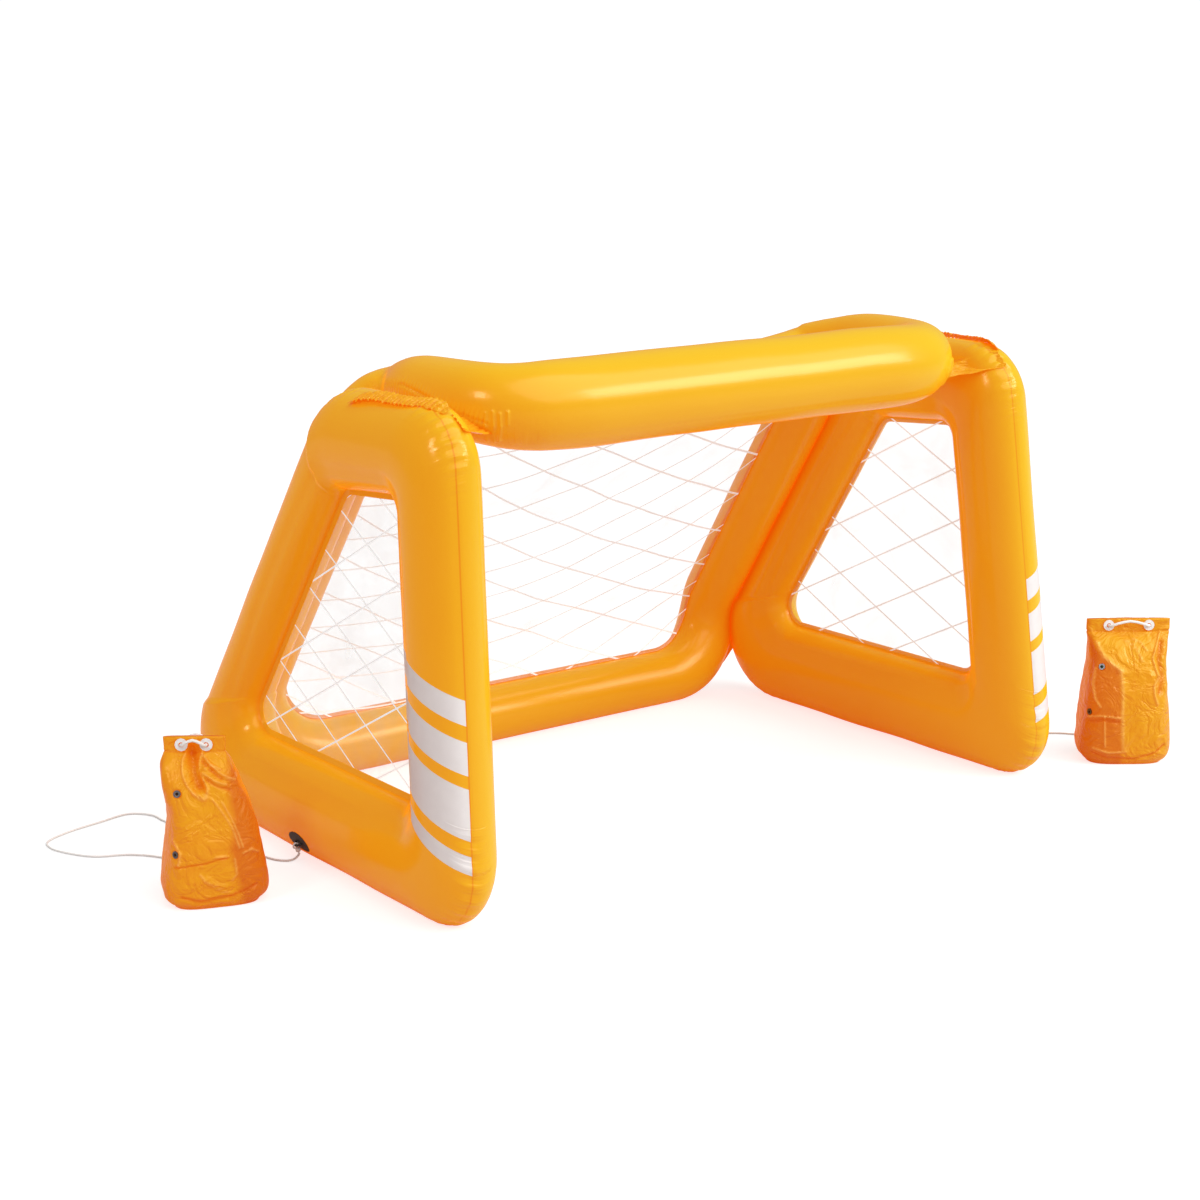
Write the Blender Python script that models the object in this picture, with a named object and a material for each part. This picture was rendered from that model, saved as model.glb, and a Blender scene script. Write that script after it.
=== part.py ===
import math

import bmesh
import bpy
from mathutils import Matrix, Vector

# Inflatable pool goal. Metres, +Z up, +X to the right seen from the open front, +Y towards the net.
# Three air chambers of welded sheet stand on the floor: two upright side frames and a leaning rear
# frame, whose top splits into a rear top tube and the crossbar. Three clear films with a printed net
# close the windows, and a rope on each side ties the goal to a filled ballast bag.

# Clearance between neighbouring pieces, and how deep each chamber is pressed flat on the floor
gap = 0.0003
floor_press = 0.0020

# Flat sides of a tube's section
tube_facets = 16

# Side frame, in its own plane: y along the floor, z up
frame_base_x = 0.638
frame_lean = 0.045
frame_half_thickness = 0.062
bottom_half_width = 0.085
post_half_width = 0.0755
slope_half_width = 0.055
top_half_width = 0.085
window_front_y = -0.265
window_rear_y = 0.295
window_top_rear_y = -0.0245
window_top_front_y = -0.215
window_height = 0.460
window_top_rise = 0.015
window_radius = 0.032
flange_width = 0.010
flange_thickness = 0.0012
lower_front_radius = 0.095
lower_rear_radius = 0.133
upper_rear_radius = 0.130
upper_front_radius = 0.100

# Rear frame, in its own bent sheet: x across, s up from the bar's middle. The bar stands upright on the
# floor, and above it the sheet bends forward to lie behind the side frames' slopes.
rear_bar_radius = 0.056
rear_post_radius = 0.058
rear_top_radius = 0.055
rear_top_height = 0.792
rear_lower_outer_radius = 0.160
rear_upper_outer_radius = 0.150
rear_lower_inner_radius = 0.090
rear_upper_inner_radius = 0.060
rear_top_sag = 0.055
rear_flange_width = 0.008
rear_behind = 0.075
rear_bar_lean = math.radians(8)
rear_bend_start = 0.080
rear_bend_length = 0.110
post_press = 0.002
rear_arc_steps = 9
rear_side_steps = 28

# Crossbar: its middle line lies a little above the rear top tube's, and a horn at each end joins them
crossbar_y = -0.283
crossbar_rise = 0.003
crossbar_height = rear_top_height + crossbar_rise
crossbar_radius = 0.073
crossbar_straight_x = 0.360
horn_end_x = 0.437
horn_bend_x = 0.490
horn_bend_radius = 0.060
horn_root_x = 0.450
horn_rise = 0.012
horn_root_radius = 0.046

# Films
film_thickness = 0.0006
film_overlap = 0.0065

# Pleated flap over each top corner
flap_front_y = -0.335
flap_rear_y = -0.110
flap_thickness = 0.0014
flap_pleat = 0.0016
flap_pleats = 9

# Air valves, along their own axis from the skin outwards
valve_flange_radius = 0.016
valve_flange_thickness = 0.0010
valve_seat_depth = 0.0026
valve_well_radius = 0.0098
valve_well_wall = 0.0012
valve_well_depth = 0.018
valve_lip = 0.0022
valve_stem_wall = 0.0022
valve_stem_length = 0.0125
valve_flap_thickness = 0.0008
valve_flap_depth = 0.0010
valve_cap_radius = 0.0058
valve_cap_thickness = 0.0016
valve_plug_length = 0.006
side_valve_y = 0.315
rear_valve_x = -0.250
rear_valve_tilt = math.radians(20)

# Anchor patch on the outer lower face of each side frame, its lug and the rope's knot
patch_y = 0.045
patch_angle = math.radians(36)
patch_length = 0.062
patch_width = 0.044
patch_thickness = 0.0014
lug_radius = 0.0088
lug_wire_radius = 0.002
knot_radius = 0.0046
knot_loop_radius = 0.0046
knot_wire_radius = 0.0016
knot_drop = 0.0092

# Ropes
rope_diameter = 0.004

# Ballast bags: the body's size and, for each bag, where and how it stands
bag_width = 0.172
bag_depth = 0.135
bag_height = 0.278
bag_mouth_depth = 0.014
hem_height = 0.023
body_turns = {"left": math.radians(-20), "right": math.radians(-36.8)}
mouth_turn = math.radians(-36.8)
base_centres = {"left": (-0.8786, -0.0150), "right": (0.8775, -0.4230)}
mouth_centres = {"left": (-0.9020, -0.0140), "right": (0.8790, -0.4240)}
mouth_widths = {"left": 0.100, "right": 0.160}
eyelet_spacings = {"left": 0.040, "right": 0.077}
eyelet_drop = 0.0115
eyelet_radius = 0.0105
eyelet_hole_radius = 0.0044
eyelet_thickness = 0.0020
seat_depth = 0.0008
handle_rope_radius = 0.0026
handle_rise = 0.010
handle_reach = 0.0105
drain_radius = 0.0062
drain_hole_radius = 0.003
drain_thickness = 0.0016
drain_seat_depth = 0.0010
drain_places = {
    "left": {"upper": (0.196, 0.038), "lower": (0.097, 0.066)},
    "right": {"upper": (0.194, 0.056), "lower": (0.105, 0.075)},
}

vinyl_yellow = (0.93, 0.46, 0.04, 1)
bag_orange = (0.90, 0.33, 0.03, 1)
clear_film = (0.92, 0.94, 0.95, 0.25)
white_plastic = (0.85, 0.86, 0.87, 1)
rope_white = (0.86, 0.87, 0.88, 1)
patch_black = (0.02, 0.02, 0.02, 1)
drain_metal = (0.16, 0.15, 0.14, 1)


for old in list(bpy.data.objects):
    bpy.data.objects.remove(old, do_unlink=True)


def make_material(name, colour, roughness, metallic=0.0):
    material = bpy.data.materials.new(name)
    material.use_nodes = True
    shader = material.node_tree.nodes["Principled BSDF"]
    shader.inputs["Base Color"].default_value = colour
    shader.inputs["Roughness"].default_value = roughness
    shader.inputs["Metallic"].default_value = metallic
    shader.inputs["Alpha"].default_value = colour[3]
    return material


def new_mesh_object(name, points, faces, colour, roughness, metallic=0.0):
    mesh = bpy.data.meshes.new(name)
    mesh.from_pydata([tuple(point) for point in points], [], faces)
    obj = bpy.data.objects.new(name, mesh)
    bpy.context.scene.collection.objects.link(obj)
    work = bmesh.new()
    work.from_mesh(mesh)
    bmesh.ops.recalc_face_normals(work, faces=work.faces[:])
    work.to_mesh(mesh)
    work.free()
    mesh.materials.append(make_material(name, colour, roughness, metallic))
    mesh.shade_smooth()
    mesh.set_sharp_from_angle(angle=math.radians(50))
    return obj


def press_flat_on_floor(obj):
    """Cuts the part of a closed mesh below the floor away and closes it with one flat face."""
    work = bmesh.new()
    work.from_mesh(obj.data)
    whole = work.verts[:] + work.edges[:] + work.faces[:]
    cut = bmesh.ops.bisect_plane(
        work, geom=whole, plane_co=(0, 0, 0), plane_no=(0, 0, 1), clear_inner=True
    )["geom_cut"]
    rim = [item for item in cut if isinstance(item, bmesh.types.BMEdge)]
    bmesh.ops.edgeloop_fill(work, edges=rim)
    bmesh.ops.recalc_face_normals(work, faces=work.faces[:])
    work.to_mesh(obj.data)
    work.free()
    obj.data.shade_smooth()
    obj.data.set_sharp_from_angle(angle=math.radians(50))


def add_boolean(obj, helper, operation="DIFFERENCE"):
    """Joins or cuts a mesh with a hidden helper by an exact Boolean."""
    helper.hide_render = True
    helper.display_type = "WIRE"
    boolean = obj.modifiers.new(operation.lower(), "BOOLEAN")
    boolean.operation = operation
    boolean.solver = "EXACT"
    boolean.object = helper


def rounded_outline(corners, radii, arc_steps=6, side_steps=4):
    """Points round a polygon whose corners are circular arcs, as many for every outline of four corners."""
    count = len(corners)
    arcs = []
    for index, corner in enumerate(corners):
        here = Vector(corner)
        before = (Vector(corners[index - 1]) - here).normalized()
        after = (Vector(corners[(index + 1) % count]) - here).normalized()
        half = before.angle(after) / 2
        centre = here + (before + after).normalized() * radii[index] / math.sin(half)
        start = here + before * radii[index] / math.tan(half) - centre
        end = here + after * radii[index] / math.tan(half) - centre
        sweep = start.angle(end)
        arc = []
        for step in range(arc_steps + 1):
            share = step / arc_steps
            arm = start * math.sin((1 - share) * sweep) + end * math.sin(share * sweep)
            arc.append(centre + arm / math.sin(sweep))
        arcs.append(arc)
    points = []
    for index, arc in enumerate(arcs):
        points += arc
        following = arcs[(index + 1) % count][0]
        points += [arc[-1].lerp(following, step / side_steps) for step in range(1, side_steps)]
    return points


def grown_corners(corners, widths):
    """The corners of a polygon whose side from corner i to i + 1 is moved out by widths[i]."""
    centre = sum((Vector(corner) for corner in corners), Vector((0, 0))) / len(corners)
    lines = []
    for index, corner in enumerate(corners):
        start = Vector(corner)
        along = (Vector(corners[(index + 1) % len(corners)]) - start).normalized()
        out = Vector((along.y, -along.x))
        if out.dot(start - centre) < 0:
            out = -out
        lines.append((start + out * widths[index], along))
    grown = []
    for index, (point, along) in enumerate(lines):
        before_point, before_along = lines[index - 1]
        turn = before_along.x * along.y - before_along.y * along.x
        offset = point - before_point
        reach = (offset.x * along.y - offset.y * along.x) / turn
        grown.append(before_point + before_along * reach)
    return grown


def at_height(low, high, height):
    """The point of the line through two corners that lies at a height."""
    return low.lerp(high, (height - low.y) / (high.y - low.y))


def tube_stations(outlines, half_thickness):
    """Outer seam, weld, window edge and half thickness round a chamber, which is never thicker than it is wide."""
    outer, weld, edge = outlines
    middles = [(a + b) / 2 for a, b in zip(outer, weld)]
    stations = []
    for index, middle in enumerate(middles):
        along = (middles[(index + 1) % len(middles)] - middles[index - 1]).normalized()
        arm = outer[index] - middle
        half_width = abs(arm.x * along.y - arm.y * along.x)
        stations.append((outer[index], weld[index], edge[index], min(half_thickness, half_width)))
    return stations


def skin_point(station, place, facet, lift=0.0):
    """A point of a tube's skin, or lift above it: facet 0 is the outer seam, 1 the next to the outer side."""
    outer_point, weld_point, _, half_thickness = station
    arm = (outer_point - weld_point) / 2
    angle = 2 * math.pi * facet / tube_facets
    reach = arm * (1 + lift / arm.length) * math.cos(angle)
    return place(weld_point + arm + reach, (half_thickness + lift) * math.sin(angle))


def chamber(name, stations, place, lift=0.0):
    """A ring of two welded sheets blown up into a tube, with the flat flange of its window inside."""
    rings = []
    half_flange = flange_thickness / 2 + lift
    for station in stations:
        _, weld_point, edge_point, _ = station
        edge = edge_point + (edge_point - weld_point).normalized() * lift
        ring = [place(edge, half_flange), place(weld_point, half_flange)]
        for facet in range(tube_facets // 2 - 1, -tube_facets // 2, -1):
            ring.append(skin_point(station, place, facet, lift))
        ring += [place(weld_point, -half_flange), place(edge, -half_flange)]
        rings.append(ring)
    return new_mesh_object(name, *loft(rings, closed=True), vinyl_yellow, 0.22)


def loft(rings, closed=False):
    """Points and triangles of the skin through rings of equally many points, capped where it isn't closed."""
    size = len(rings[0])
    points = [point for ring in rings for point in ring]
    faces = []
    for index in range(len(rings) if closed else len(rings) - 1):
        here = index * size
        there = (index + 1) % len(rings) * size
        for step in range(size):
            following = (step + 1) % size
            faces.append((here + step, here + following, there + following))
            faces.append((here + step, there + following, there + step))
    if not closed:
        faces.append(tuple(range(size)))
        faces.append(tuple(range(len(points) - size, len(points))))
    return points, faces


def smooth_path(points, per_span):
    """A curve through the points, which may have any number of coordinates."""
    stops = [Vector(point) for point in points]
    stops = [stops[0] * 2 - stops[1], *stops, stops[-1] * 2 - stops[-2]]
    path = []
    for index in range(1, len(stops) - 2):
        before, here, there, after = stops[index - 1 : index + 3]
        for step in range(per_span):
            t = step / per_span
            straight = here * 2 + (there - before) * t
            bend = (before * 2 - here * 5 + there * 4 - after) * t**2
            twist = (here * 3 - before - there * 3 + after) * t**3
            path.append((straight + bend + twist) / 2)
    path.append(stops[-2])
    return path


def tube(path, radii, facets):
    """Rings of a round tube along a path, turned as little as possible from one to the next."""
    rings = []
    side = None
    for index, point in enumerate(path):
        ahead = path[min(index + 1, len(path) - 1)] - path[max(index - 1, 0)]
        ahead.normalize()
        if side is None:
            side = ahead.orthogonal().normalized()
        side = (side - ahead * side.dot(ahead)).normalized()
        across = ahead.cross(side)
        ring = []
        for step in range(facets):
            angle = 2 * math.pi * step / facets
            ring.append(point + (side * math.cos(angle) + across * math.sin(angle)) * radii[index])
        rings.append(ring)
    return rings


def plate(name, outline, place, low, high, colour, roughness):
    """A flat piece between two distances from a plane."""
    size = len(outline)
    points = [place(point, low) for point in outline] + [place(point, high) for point in outline]
    faces = [tuple(range(size)), tuple(range(size, 2 * size))]
    faces += [(i, (i + 1) % size, size + (i + 1) % size, size + i) for i in range(size)]
    return new_mesh_object(name, points, faces, colour, roughness)


def turned(name, profile, place, colour, roughness, steps=16, metallic=0.0):
    """A turned solid: profile is a loop of (radius, height), with radius 0 where it meets the axis."""
    points = []
    rows = []
    for radius, height in profile:
        if radius == 0:
            rows.append([len(points)] * steps)
            points.append((0, 0, height))
            continue
        rows.append([len(points) + step for step in range(steps)])
        for step in range(steps):
            angle = 2 * math.pi * step / steps
            points.append((radius * math.cos(angle), radius * math.sin(angle), height))
    faces = []
    for index, row in enumerate(rows):
        following = rows[(index + 1) % len(rows)]
        for step in range(steps):
            around = (step + 1) % steps
            face = []
            for corner in (row[step], row[around], following[around], following[step]):
                if corner not in face:
                    face.append(corner)
            if len(face) > 2:
                faces.append(tuple(face))
    obj = new_mesh_object(name, points, faces, colour, roughness, metallic)
    obj.matrix_world = place
    return obj


def axes_to(origin, up, along=(0, 1, 0)):
    """The placing of a piece whose own +Z points along up and whose +Y lies nearest to along."""
    up = Vector(up).normalized()
    side = (Vector(along) - up * up.dot(Vector(along))).normalized()
    turn = Matrix((side.cross(up), side, up)).transposed().to_4x4()
    return Matrix.Translation(origin) @ turn


# Side frame outlines: window edge, weld and outer seam
window_bottom_z = 2 * bottom_half_width + flange_width
window_corners = [
    Vector((window_front_y, window_bottom_z)),
    Vector((window_rear_y, window_bottom_z)),
    Vector((window_top_rear_y, window_bottom_z + window_height)),
    Vector((window_top_front_y, window_bottom_z + window_height + window_top_rise)),
]
weld_corners = grown_corners(window_corners, [flange_width] * 4)
outer_corners = grown_corners(
    window_corners,
    [
        flange_width + 2 * bottom_half_width + floor_press,
        flange_width + 2 * slope_half_width,
        flange_width + 2 * top_half_width,
        flange_width + 2 * post_half_width,
    ],
)
frame_top_z = window_corners[2].y + flange_width + 2 * top_half_width
outer_corners[2] = at_height(outer_corners[1], outer_corners[2], frame_top_z)
outer_corners[3] = at_height(outer_corners[0], outer_corners[3], frame_top_z)
frame_outlines = [
    rounded_outline(
        outer_corners, [lower_front_radius, lower_rear_radius, upper_rear_radius, upper_front_radius]
    ),
    rounded_outline(weld_corners, [window_radius + flange_width] * 4),
    rounded_outline(window_corners, [window_radius] * 4),
]
frame_stations = tube_stations(frame_outlines, frame_half_thickness)


def frame_place(side):
    """Puts a point of the side frame's plane, and its distance out of it, in the world."""

    def place(point, off):
        return Vector((side * (frame_base_x - frame_lean * point[1] + off), point[0], point[1]))

    return place


def bottom_limb_point(side, y, angle, lift=0.0):
    """A point of the bottom limb's outer face, or lift above it, angle below the middle of its height."""
    height = bottom_half_width * (1 - math.sin(angle))
    skin = frame_place(side)((y, height), frame_half_thickness * math.cos(angle))
    across = side * math.cos(angle) / frame_half_thickness
    down = -math.sin(angle) / bottom_half_width
    return skin + Vector((across, 0, down)).normalized() * lift


side_frames = {}
frame_clearances = {}
for side, prefix in ((-1, "left"), (1, "right")):
    side_frames[side] = chamber(prefix + "_side_frame", frame_stations, frame_place(side))
    press_flat_on_floor(side_frames[side])
    frame_clearances[side] = chamber(prefix + "_side_frame_clearance", frame_stations, frame_place(side), gap)

# Rear frame: its posts lie behind the side frames' slopes and a little inside them, pressed flat there
centres_apart = math.sqrt((slope_half_width + rear_post_radius - post_press) ** 2 - rear_behind**2)
slope_along = (window_corners[2] - window_corners[1]).normalized()
slope_out = Vector((slope_along.y, -slope_along.x))
slope_lean = math.atan2(-slope_along.x, slope_along.y)
slope_centre = window_corners[1] + slope_out * (flange_width + slope_half_width + rear_behind)
rear_bend_end = rear_bend_start + rear_bend_length
rear_bend_rate = (slope_lean + rear_bar_lean) / rear_bend_length
rear_bar_z = rear_bar_radius * math.cos(math.pi / tube_facets) - floor_press


def rear_line(s):
    """How far the middle of the bent sheet is behind and above the bar's middle, and how far it leans."""
    upright = min(s, rear_bend_start)
    bent = min(max(s - rear_bend_start, 0), rear_bend_length)
    leaning = max(s - rear_bend_end, 0)
    lean = rear_bend_rate * bent - rear_bar_lean
    back = (math.cos(lean) - math.cos(rear_bar_lean)) / rear_bend_rate
    rise = (math.sin(lean) + math.sin(rear_bar_lean)) / rear_bend_rate
    back += math.sin(rear_bar_lean) * upright - math.sin(slope_lean) * leaning
    rise += math.cos(rear_bar_lean) * upright + math.cos(slope_lean) * leaning
    return Vector((back, rise)), lean


rear_bend_top = rear_line(rear_bend_end)[0]
slope_at_bend = slope_centre + slope_along * (rear_bar_z + rear_bend_top.y - slope_centre.y) / slope_along.y
rear_origin = Vector((slope_at_bend.x - rear_bend_top.x, rear_bar_z))
rear_top_s = rear_bend_end + (rear_top_height - slope_at_bend.y) / math.cos(slope_lean)


def rear_post_x(s):
    """Where the middle of a rear post lies, so that it follows the side frame's lean."""
    return frame_base_x - frame_lean * (rear_origin.y + rear_line(s)[0].y) - centres_apart


def rear_place(point, off):
    """Puts a point of the rear frame's sheet, and its distance out of it to the back, in the world."""
    x, s = point
    middle, lean = rear_line(s)
    shear = 1 - frame_lean * math.sin(lean) * off / rear_post_x(s)
    rise = min(max(s / rear_top_s, 0), 1)
    sag = rear_top_sag * rise**6 * max(0, 1 - (x / rear_post_x(s)) ** 2)
    flat = rear_origin + middle + Vector((math.cos(lean), math.sin(lean))) * off
    return Vector((x * shear, flat.x, flat.y - sag))


def rear_corners(inset):
    """Corners of the rear frame's outline: inset 1 is the outer seam and -1 the weld."""
    low = -rear_bar_radius * inset
    high = rear_top_s + rear_top_radius * inset
    low_x = rear_post_x(low) + rear_post_radius * inset
    high_x = rear_post_x(high) + rear_post_radius * inset
    return [Vector((-low_x, low)), Vector((low_x, low)), Vector((high_x, high)), Vector((-high_x, high))]


def low_and_high(low, high):
    return [low, low, high, high]


rear_window_corners = grown_corners(rear_corners(-1), [-rear_flange_width] * 4)
rear_window_radii = low_and_high(
    rear_lower_inner_radius - rear_flange_width, rear_upper_inner_radius - rear_flange_width
)
rear_outlines = [
    rounded_outline(corners, radii, rear_arc_steps, rear_side_steps)
    for corners, radii in (
        (rear_corners(1), low_and_high(rear_lower_outer_radius, rear_upper_outer_radius)),
        (rear_corners(-1), low_and_high(rear_lower_inner_radius, rear_upper_inner_radius)),
        (rear_window_corners, rear_window_radii),
    )
]
rear_stations = tube_stations(rear_outlines, rear_bar_radius)
rear_frame = chamber("rear_frame_with_crossbar", rear_stations, rear_place)
press_flat_on_floor(rear_frame)
rear_clearance = chamber("rear_frame_clearance", rear_stations, rear_place, gap)

# Crossbar: half of its middle line with its radius, from its root in the rear top tube to the middle
rear_top_y = (rear_origin + rear_line(rear_top_s)[0]).x


def horn_stop(x, forward, radius):
    """A stop of the horn's middle line, at a share of the way forward from the rear top tube."""
    y = rear_top_y + (crossbar_y - rear_top_y) * forward
    z = rear_top_height + crossbar_rise * forward + horn_rise * math.sin(math.pi * forward)
    return (x, y, z, radius)


half_crossbar = [
    horn_stop(horn_root_x, 0, horn_root_radius),
    horn_stop((horn_root_x + horn_bend_x) / 2 + 0.004, 0.18, (horn_root_radius + horn_bend_radius) / 2),
    horn_stop(horn_bend_x, 0.41, horn_bend_radius),
    horn_stop(horn_bend_x - 0.012, 0.79, horn_bend_radius + 0.004),
    horn_stop(horn_end_x, 0.95, crossbar_radius - 0.004),
    horn_stop(crossbar_straight_x, 1, crossbar_radius),
    horn_stop(crossbar_straight_x / 2, 1, crossbar_radius),
]
crossbar_stops = half_crossbar + [(-x, y, z, radius) for x, y, z, radius in reversed(half_crossbar)]
crossbar_path = smooth_path(crossbar_stops, 3)
crossbar_centres = [stop.to_3d() for stop in crossbar_path]


def crossbar_helper(name, lift):
    rings = tube(crossbar_centres, [stop[3] + lift for stop in crossbar_path], tube_facets)
    return new_mesh_object(name, *loft(rings), vinyl_yellow, 0.22)


add_boolean(rear_frame, crossbar_helper("crossbar_joint", 0), "UNION")
crossbar_clearance = crossbar_helper("crossbar_clearance", gap)
crossbar_clearance.hide_render = True
crossbar_clearance.display_type = "WIRE"
for side in (-1, 1):
    add_boolean(rear_frame, frame_clearances[side])

# Films, each lying on the inner side of its window's flange and welded to it
film_offset = -(flange_thickness / 2 + gap + film_thickness / 2)
film_low = film_offset - film_thickness / 2
film_high = film_offset + film_thickness / 2
side_film_outline = rounded_outline(
    grown_corners(window_corners, [film_overlap] * 4), [window_radius + film_overlap] * 4, 5, 2
)
for side, prefix in ((-1, "left"), (1, "right")):
    plate(prefix + "_net_film", side_film_outline, frame_place(side), film_low, film_high, clear_film, 0.12)


def reach_at(outline, s):
    """Half the width of a symmetric outline at height s."""
    reach = 0
    for index, here in enumerate(outline):
        there = outline[(index + 1) % len(outline)]
        if (here.y - s) * (there.y - s) <= 0 and here.y != there.y:
            share = (s - here.y) / (there.y - here.y)
            reach = max(reach, here.x + (there.x - here.x) * share)
    return reach


def rear_film(rows=40, columns=8):
    """The rear film follows the sag of the rear top tube, so it is a grid and not a plate."""
    outline = rounded_outline(
        grown_corners(rear_window_corners, [film_overlap] * 4),
        [radius + film_overlap for radius in rear_window_radii],
        6,
        6,
    )
    low = min(point.y for point in outline) + 0.00001
    high = max(point.y for point in outline) - 0.00001
    layers = []
    for offset in (film_low, film_high):
        for row in range(rows + 1):
            s = low + (high - low) * (1 - math.cos(math.pi * row / rows)) / 2
            reach = reach_at(outline, s)
            for column in range(columns + 1):
                layers.append(rear_place((reach * (2 * column / columns - 1), s), offset))
    wide = columns + 1
    size = wide * (rows + 1)
    faces = []
    for row in range(rows):
        for column in range(columns):
            corner = row * wide + column
            near = (corner, corner + 1, corner + wide + 1, corner + wide)
            faces += [near, tuple(size + i for i in near)]
    rim = list(range(wide))
    rim += [row * wide + columns for row in range(1, rows + 1)]
    rim += [rows * wide + column for column in range(columns - 1, -1, -1)]
    rim += [row * wide for row in range(rows - 1, 0, -1)]
    for here, there in zip(rim, rim[1:] + rim[:1]):
        faces.append((here, there, size + there, size + here))
    return new_mesh_object("rear_net_film", layers, faces, clear_film, 0.12)


rear_film()


def corner_flap(name, side):
    """The pleated flap that welds a top corner of the rear frame to the side frame's top limb."""
    place = frame_place(side)
    stations = []
    for here, there in zip(frame_stations, frame_stations[1:]):
        for step in range(5):
            share = step / 5
            station = [a + (b - a) * share for a, b in zip(here, there)]
            if station[0].y > window_corners[3].y and flap_front_y < station[0].x < flap_rear_y:
                stations.append(station)
    rings = []
    for index, station in enumerate(stations):
        wave = math.cos(2 * math.pi * flap_pleats * index / (len(stations) - 1))
        top = gap + flap_thickness + flap_pleat * (1 - wave) / 2
        near = [skin_point(station, place, facet, gap) for facet in range(-3, 2)]
        far = [skin_point(station, place, facet, top) for facet in range(-3, 2)]
        rings.append(near + far[::-1])
    obj = new_mesh_object(name, *loft(rings), vinyl_yellow, 0.3)
    add_boolean(obj, crossbar_clearance)
    add_boolean(obj, rear_clearance)
    return obj


def corner_web(name, side):
    """The web that fills the wedge between the rear frame's round lower corner and the side frame."""

    def place(point, off):
        spot = rear_place(point, off)
        return Vector((side * spot.x, spot.y, spot.z))

    def up_bar(height):
        return (height - rear_bar_z) / math.cos(rear_bar_lean)

    corner_x = rear_post_x(0) + rear_post_radius
    outline = [
        (corner_x - 0.144, up_bar(0.056)),
        (corner_x - 0.114, up_bar(0.020)),
        (corner_x - 0.062, up_bar(0.034)),
        (corner_x - 0.022, up_bar(0.058)),
        (corner_x + 0.016, up_bar(0.092)),
        (corner_x + 0.016, up_bar(0.130)),
        (corner_x - 0.030, up_bar(0.130)),
    ]
    obj = plate(name, outline, place, -flange_thickness / 2, flange_thickness / 2, vinyl_yellow, 0.3)
    add_boolean(obj, rear_clearance)
    add_boolean(obj, frame_clearances[side])
    return obj


for side, prefix in ((-1, "left"), (1, "right")):
    corner_flap(prefix + "_corner_flap", side)
    corner_web(prefix + "_corner_web", side)


def valve(owner, prefix, origin, outward):
    """A welded base with a well, a stem that pushes in flush, the stem's inner flap and its stopper."""
    place = axes_to(origin, outward)
    seat = -valve_seat_depth
    well_floor = seat - valve_well_depth
    pocket = turned(
        prefix + "_pocket",
        [
            (0, 0.02),
            (valve_flange_radius + gap, 0.02),
            (valve_flange_radius + gap, seat),
            (valve_well_radius + gap, seat),
            (valve_well_radius + gap, well_floor),
            (0, well_floor),
        ],
        place,
        vinyl_yellow,
        0.3,
    )
    add_boolean(owner, pocket)
    flange_low = seat + gap
    flange_top = flange_low + valve_flange_thickness
    well_low = well_floor + gap
    well_inner = valve_well_radius - valve_well_wall
    turned(
        prefix + "_base",
        [
            (well_inner, flange_top),
            (valve_flange_radius, flange_top),
            (valve_flange_radius, flange_low),
            (valve_well_radius, flange_low),
            (valve_well_radius, well_low),
            (well_inner - valve_lip, well_low),
            (well_inner - valve_lip, well_low + valve_well_wall),
            (well_inner, well_low + valve_well_wall),
        ],
        place,
        vinyl_yellow,
        0.3,
    )
    stem_radius = well_inner - gap
    bore = stem_radius - valve_stem_wall
    stem_low = flange_top - valve_stem_length
    turned(
        prefix + "_stem",
        [(bore, flange_top), (stem_radius, flange_top), (stem_radius, stem_low), (bore, stem_low)],
        place,
        white_plastic,
        0.35,
    )
    flap_low = stem_low + valve_flap_depth
    flap_top = flap_low + valve_flap_thickness
    turned(
        prefix + "_flap",
        [(0, flap_top), (bore - gap, flap_top), (bore - gap, flap_low), (0, flap_low)],
        place,
        white_plastic,
        0.4,
    )
    plug = bore - gap
    cap_low = flange_top + gap
    cap_top = cap_low + valve_cap_thickness
    turned(
        prefix + "_stopper",
        [
            (0, cap_top),
            (valve_cap_radius, cap_top),
            (valve_cap_radius, cap_low),
            (plug, cap_low),
            (plug, flange_top - valve_plug_length),
            (0, flange_top - valve_plug_length),
        ],
        place,
        white_plastic,
        0.35,
    )


for side, prefix in ((-1, "left"), (1, "right")):
    skin = bottom_limb_point(side, side_valve_y, 0)
    valve(side_frames[side], prefix + "_valve", skin, bottom_limb_point(side, side_valve_y, 0, 1) - skin)

rear_outward = Vector((0, math.cos(rear_valve_tilt), math.sin(rear_valve_tilt)))
rear_skin = Vector((rear_valve_x, rear_origin.x, rear_bar_z)) + rear_outward * rear_bar_radius
valve(rear_frame, "rear_valve", rear_skin, rear_outward)


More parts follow.
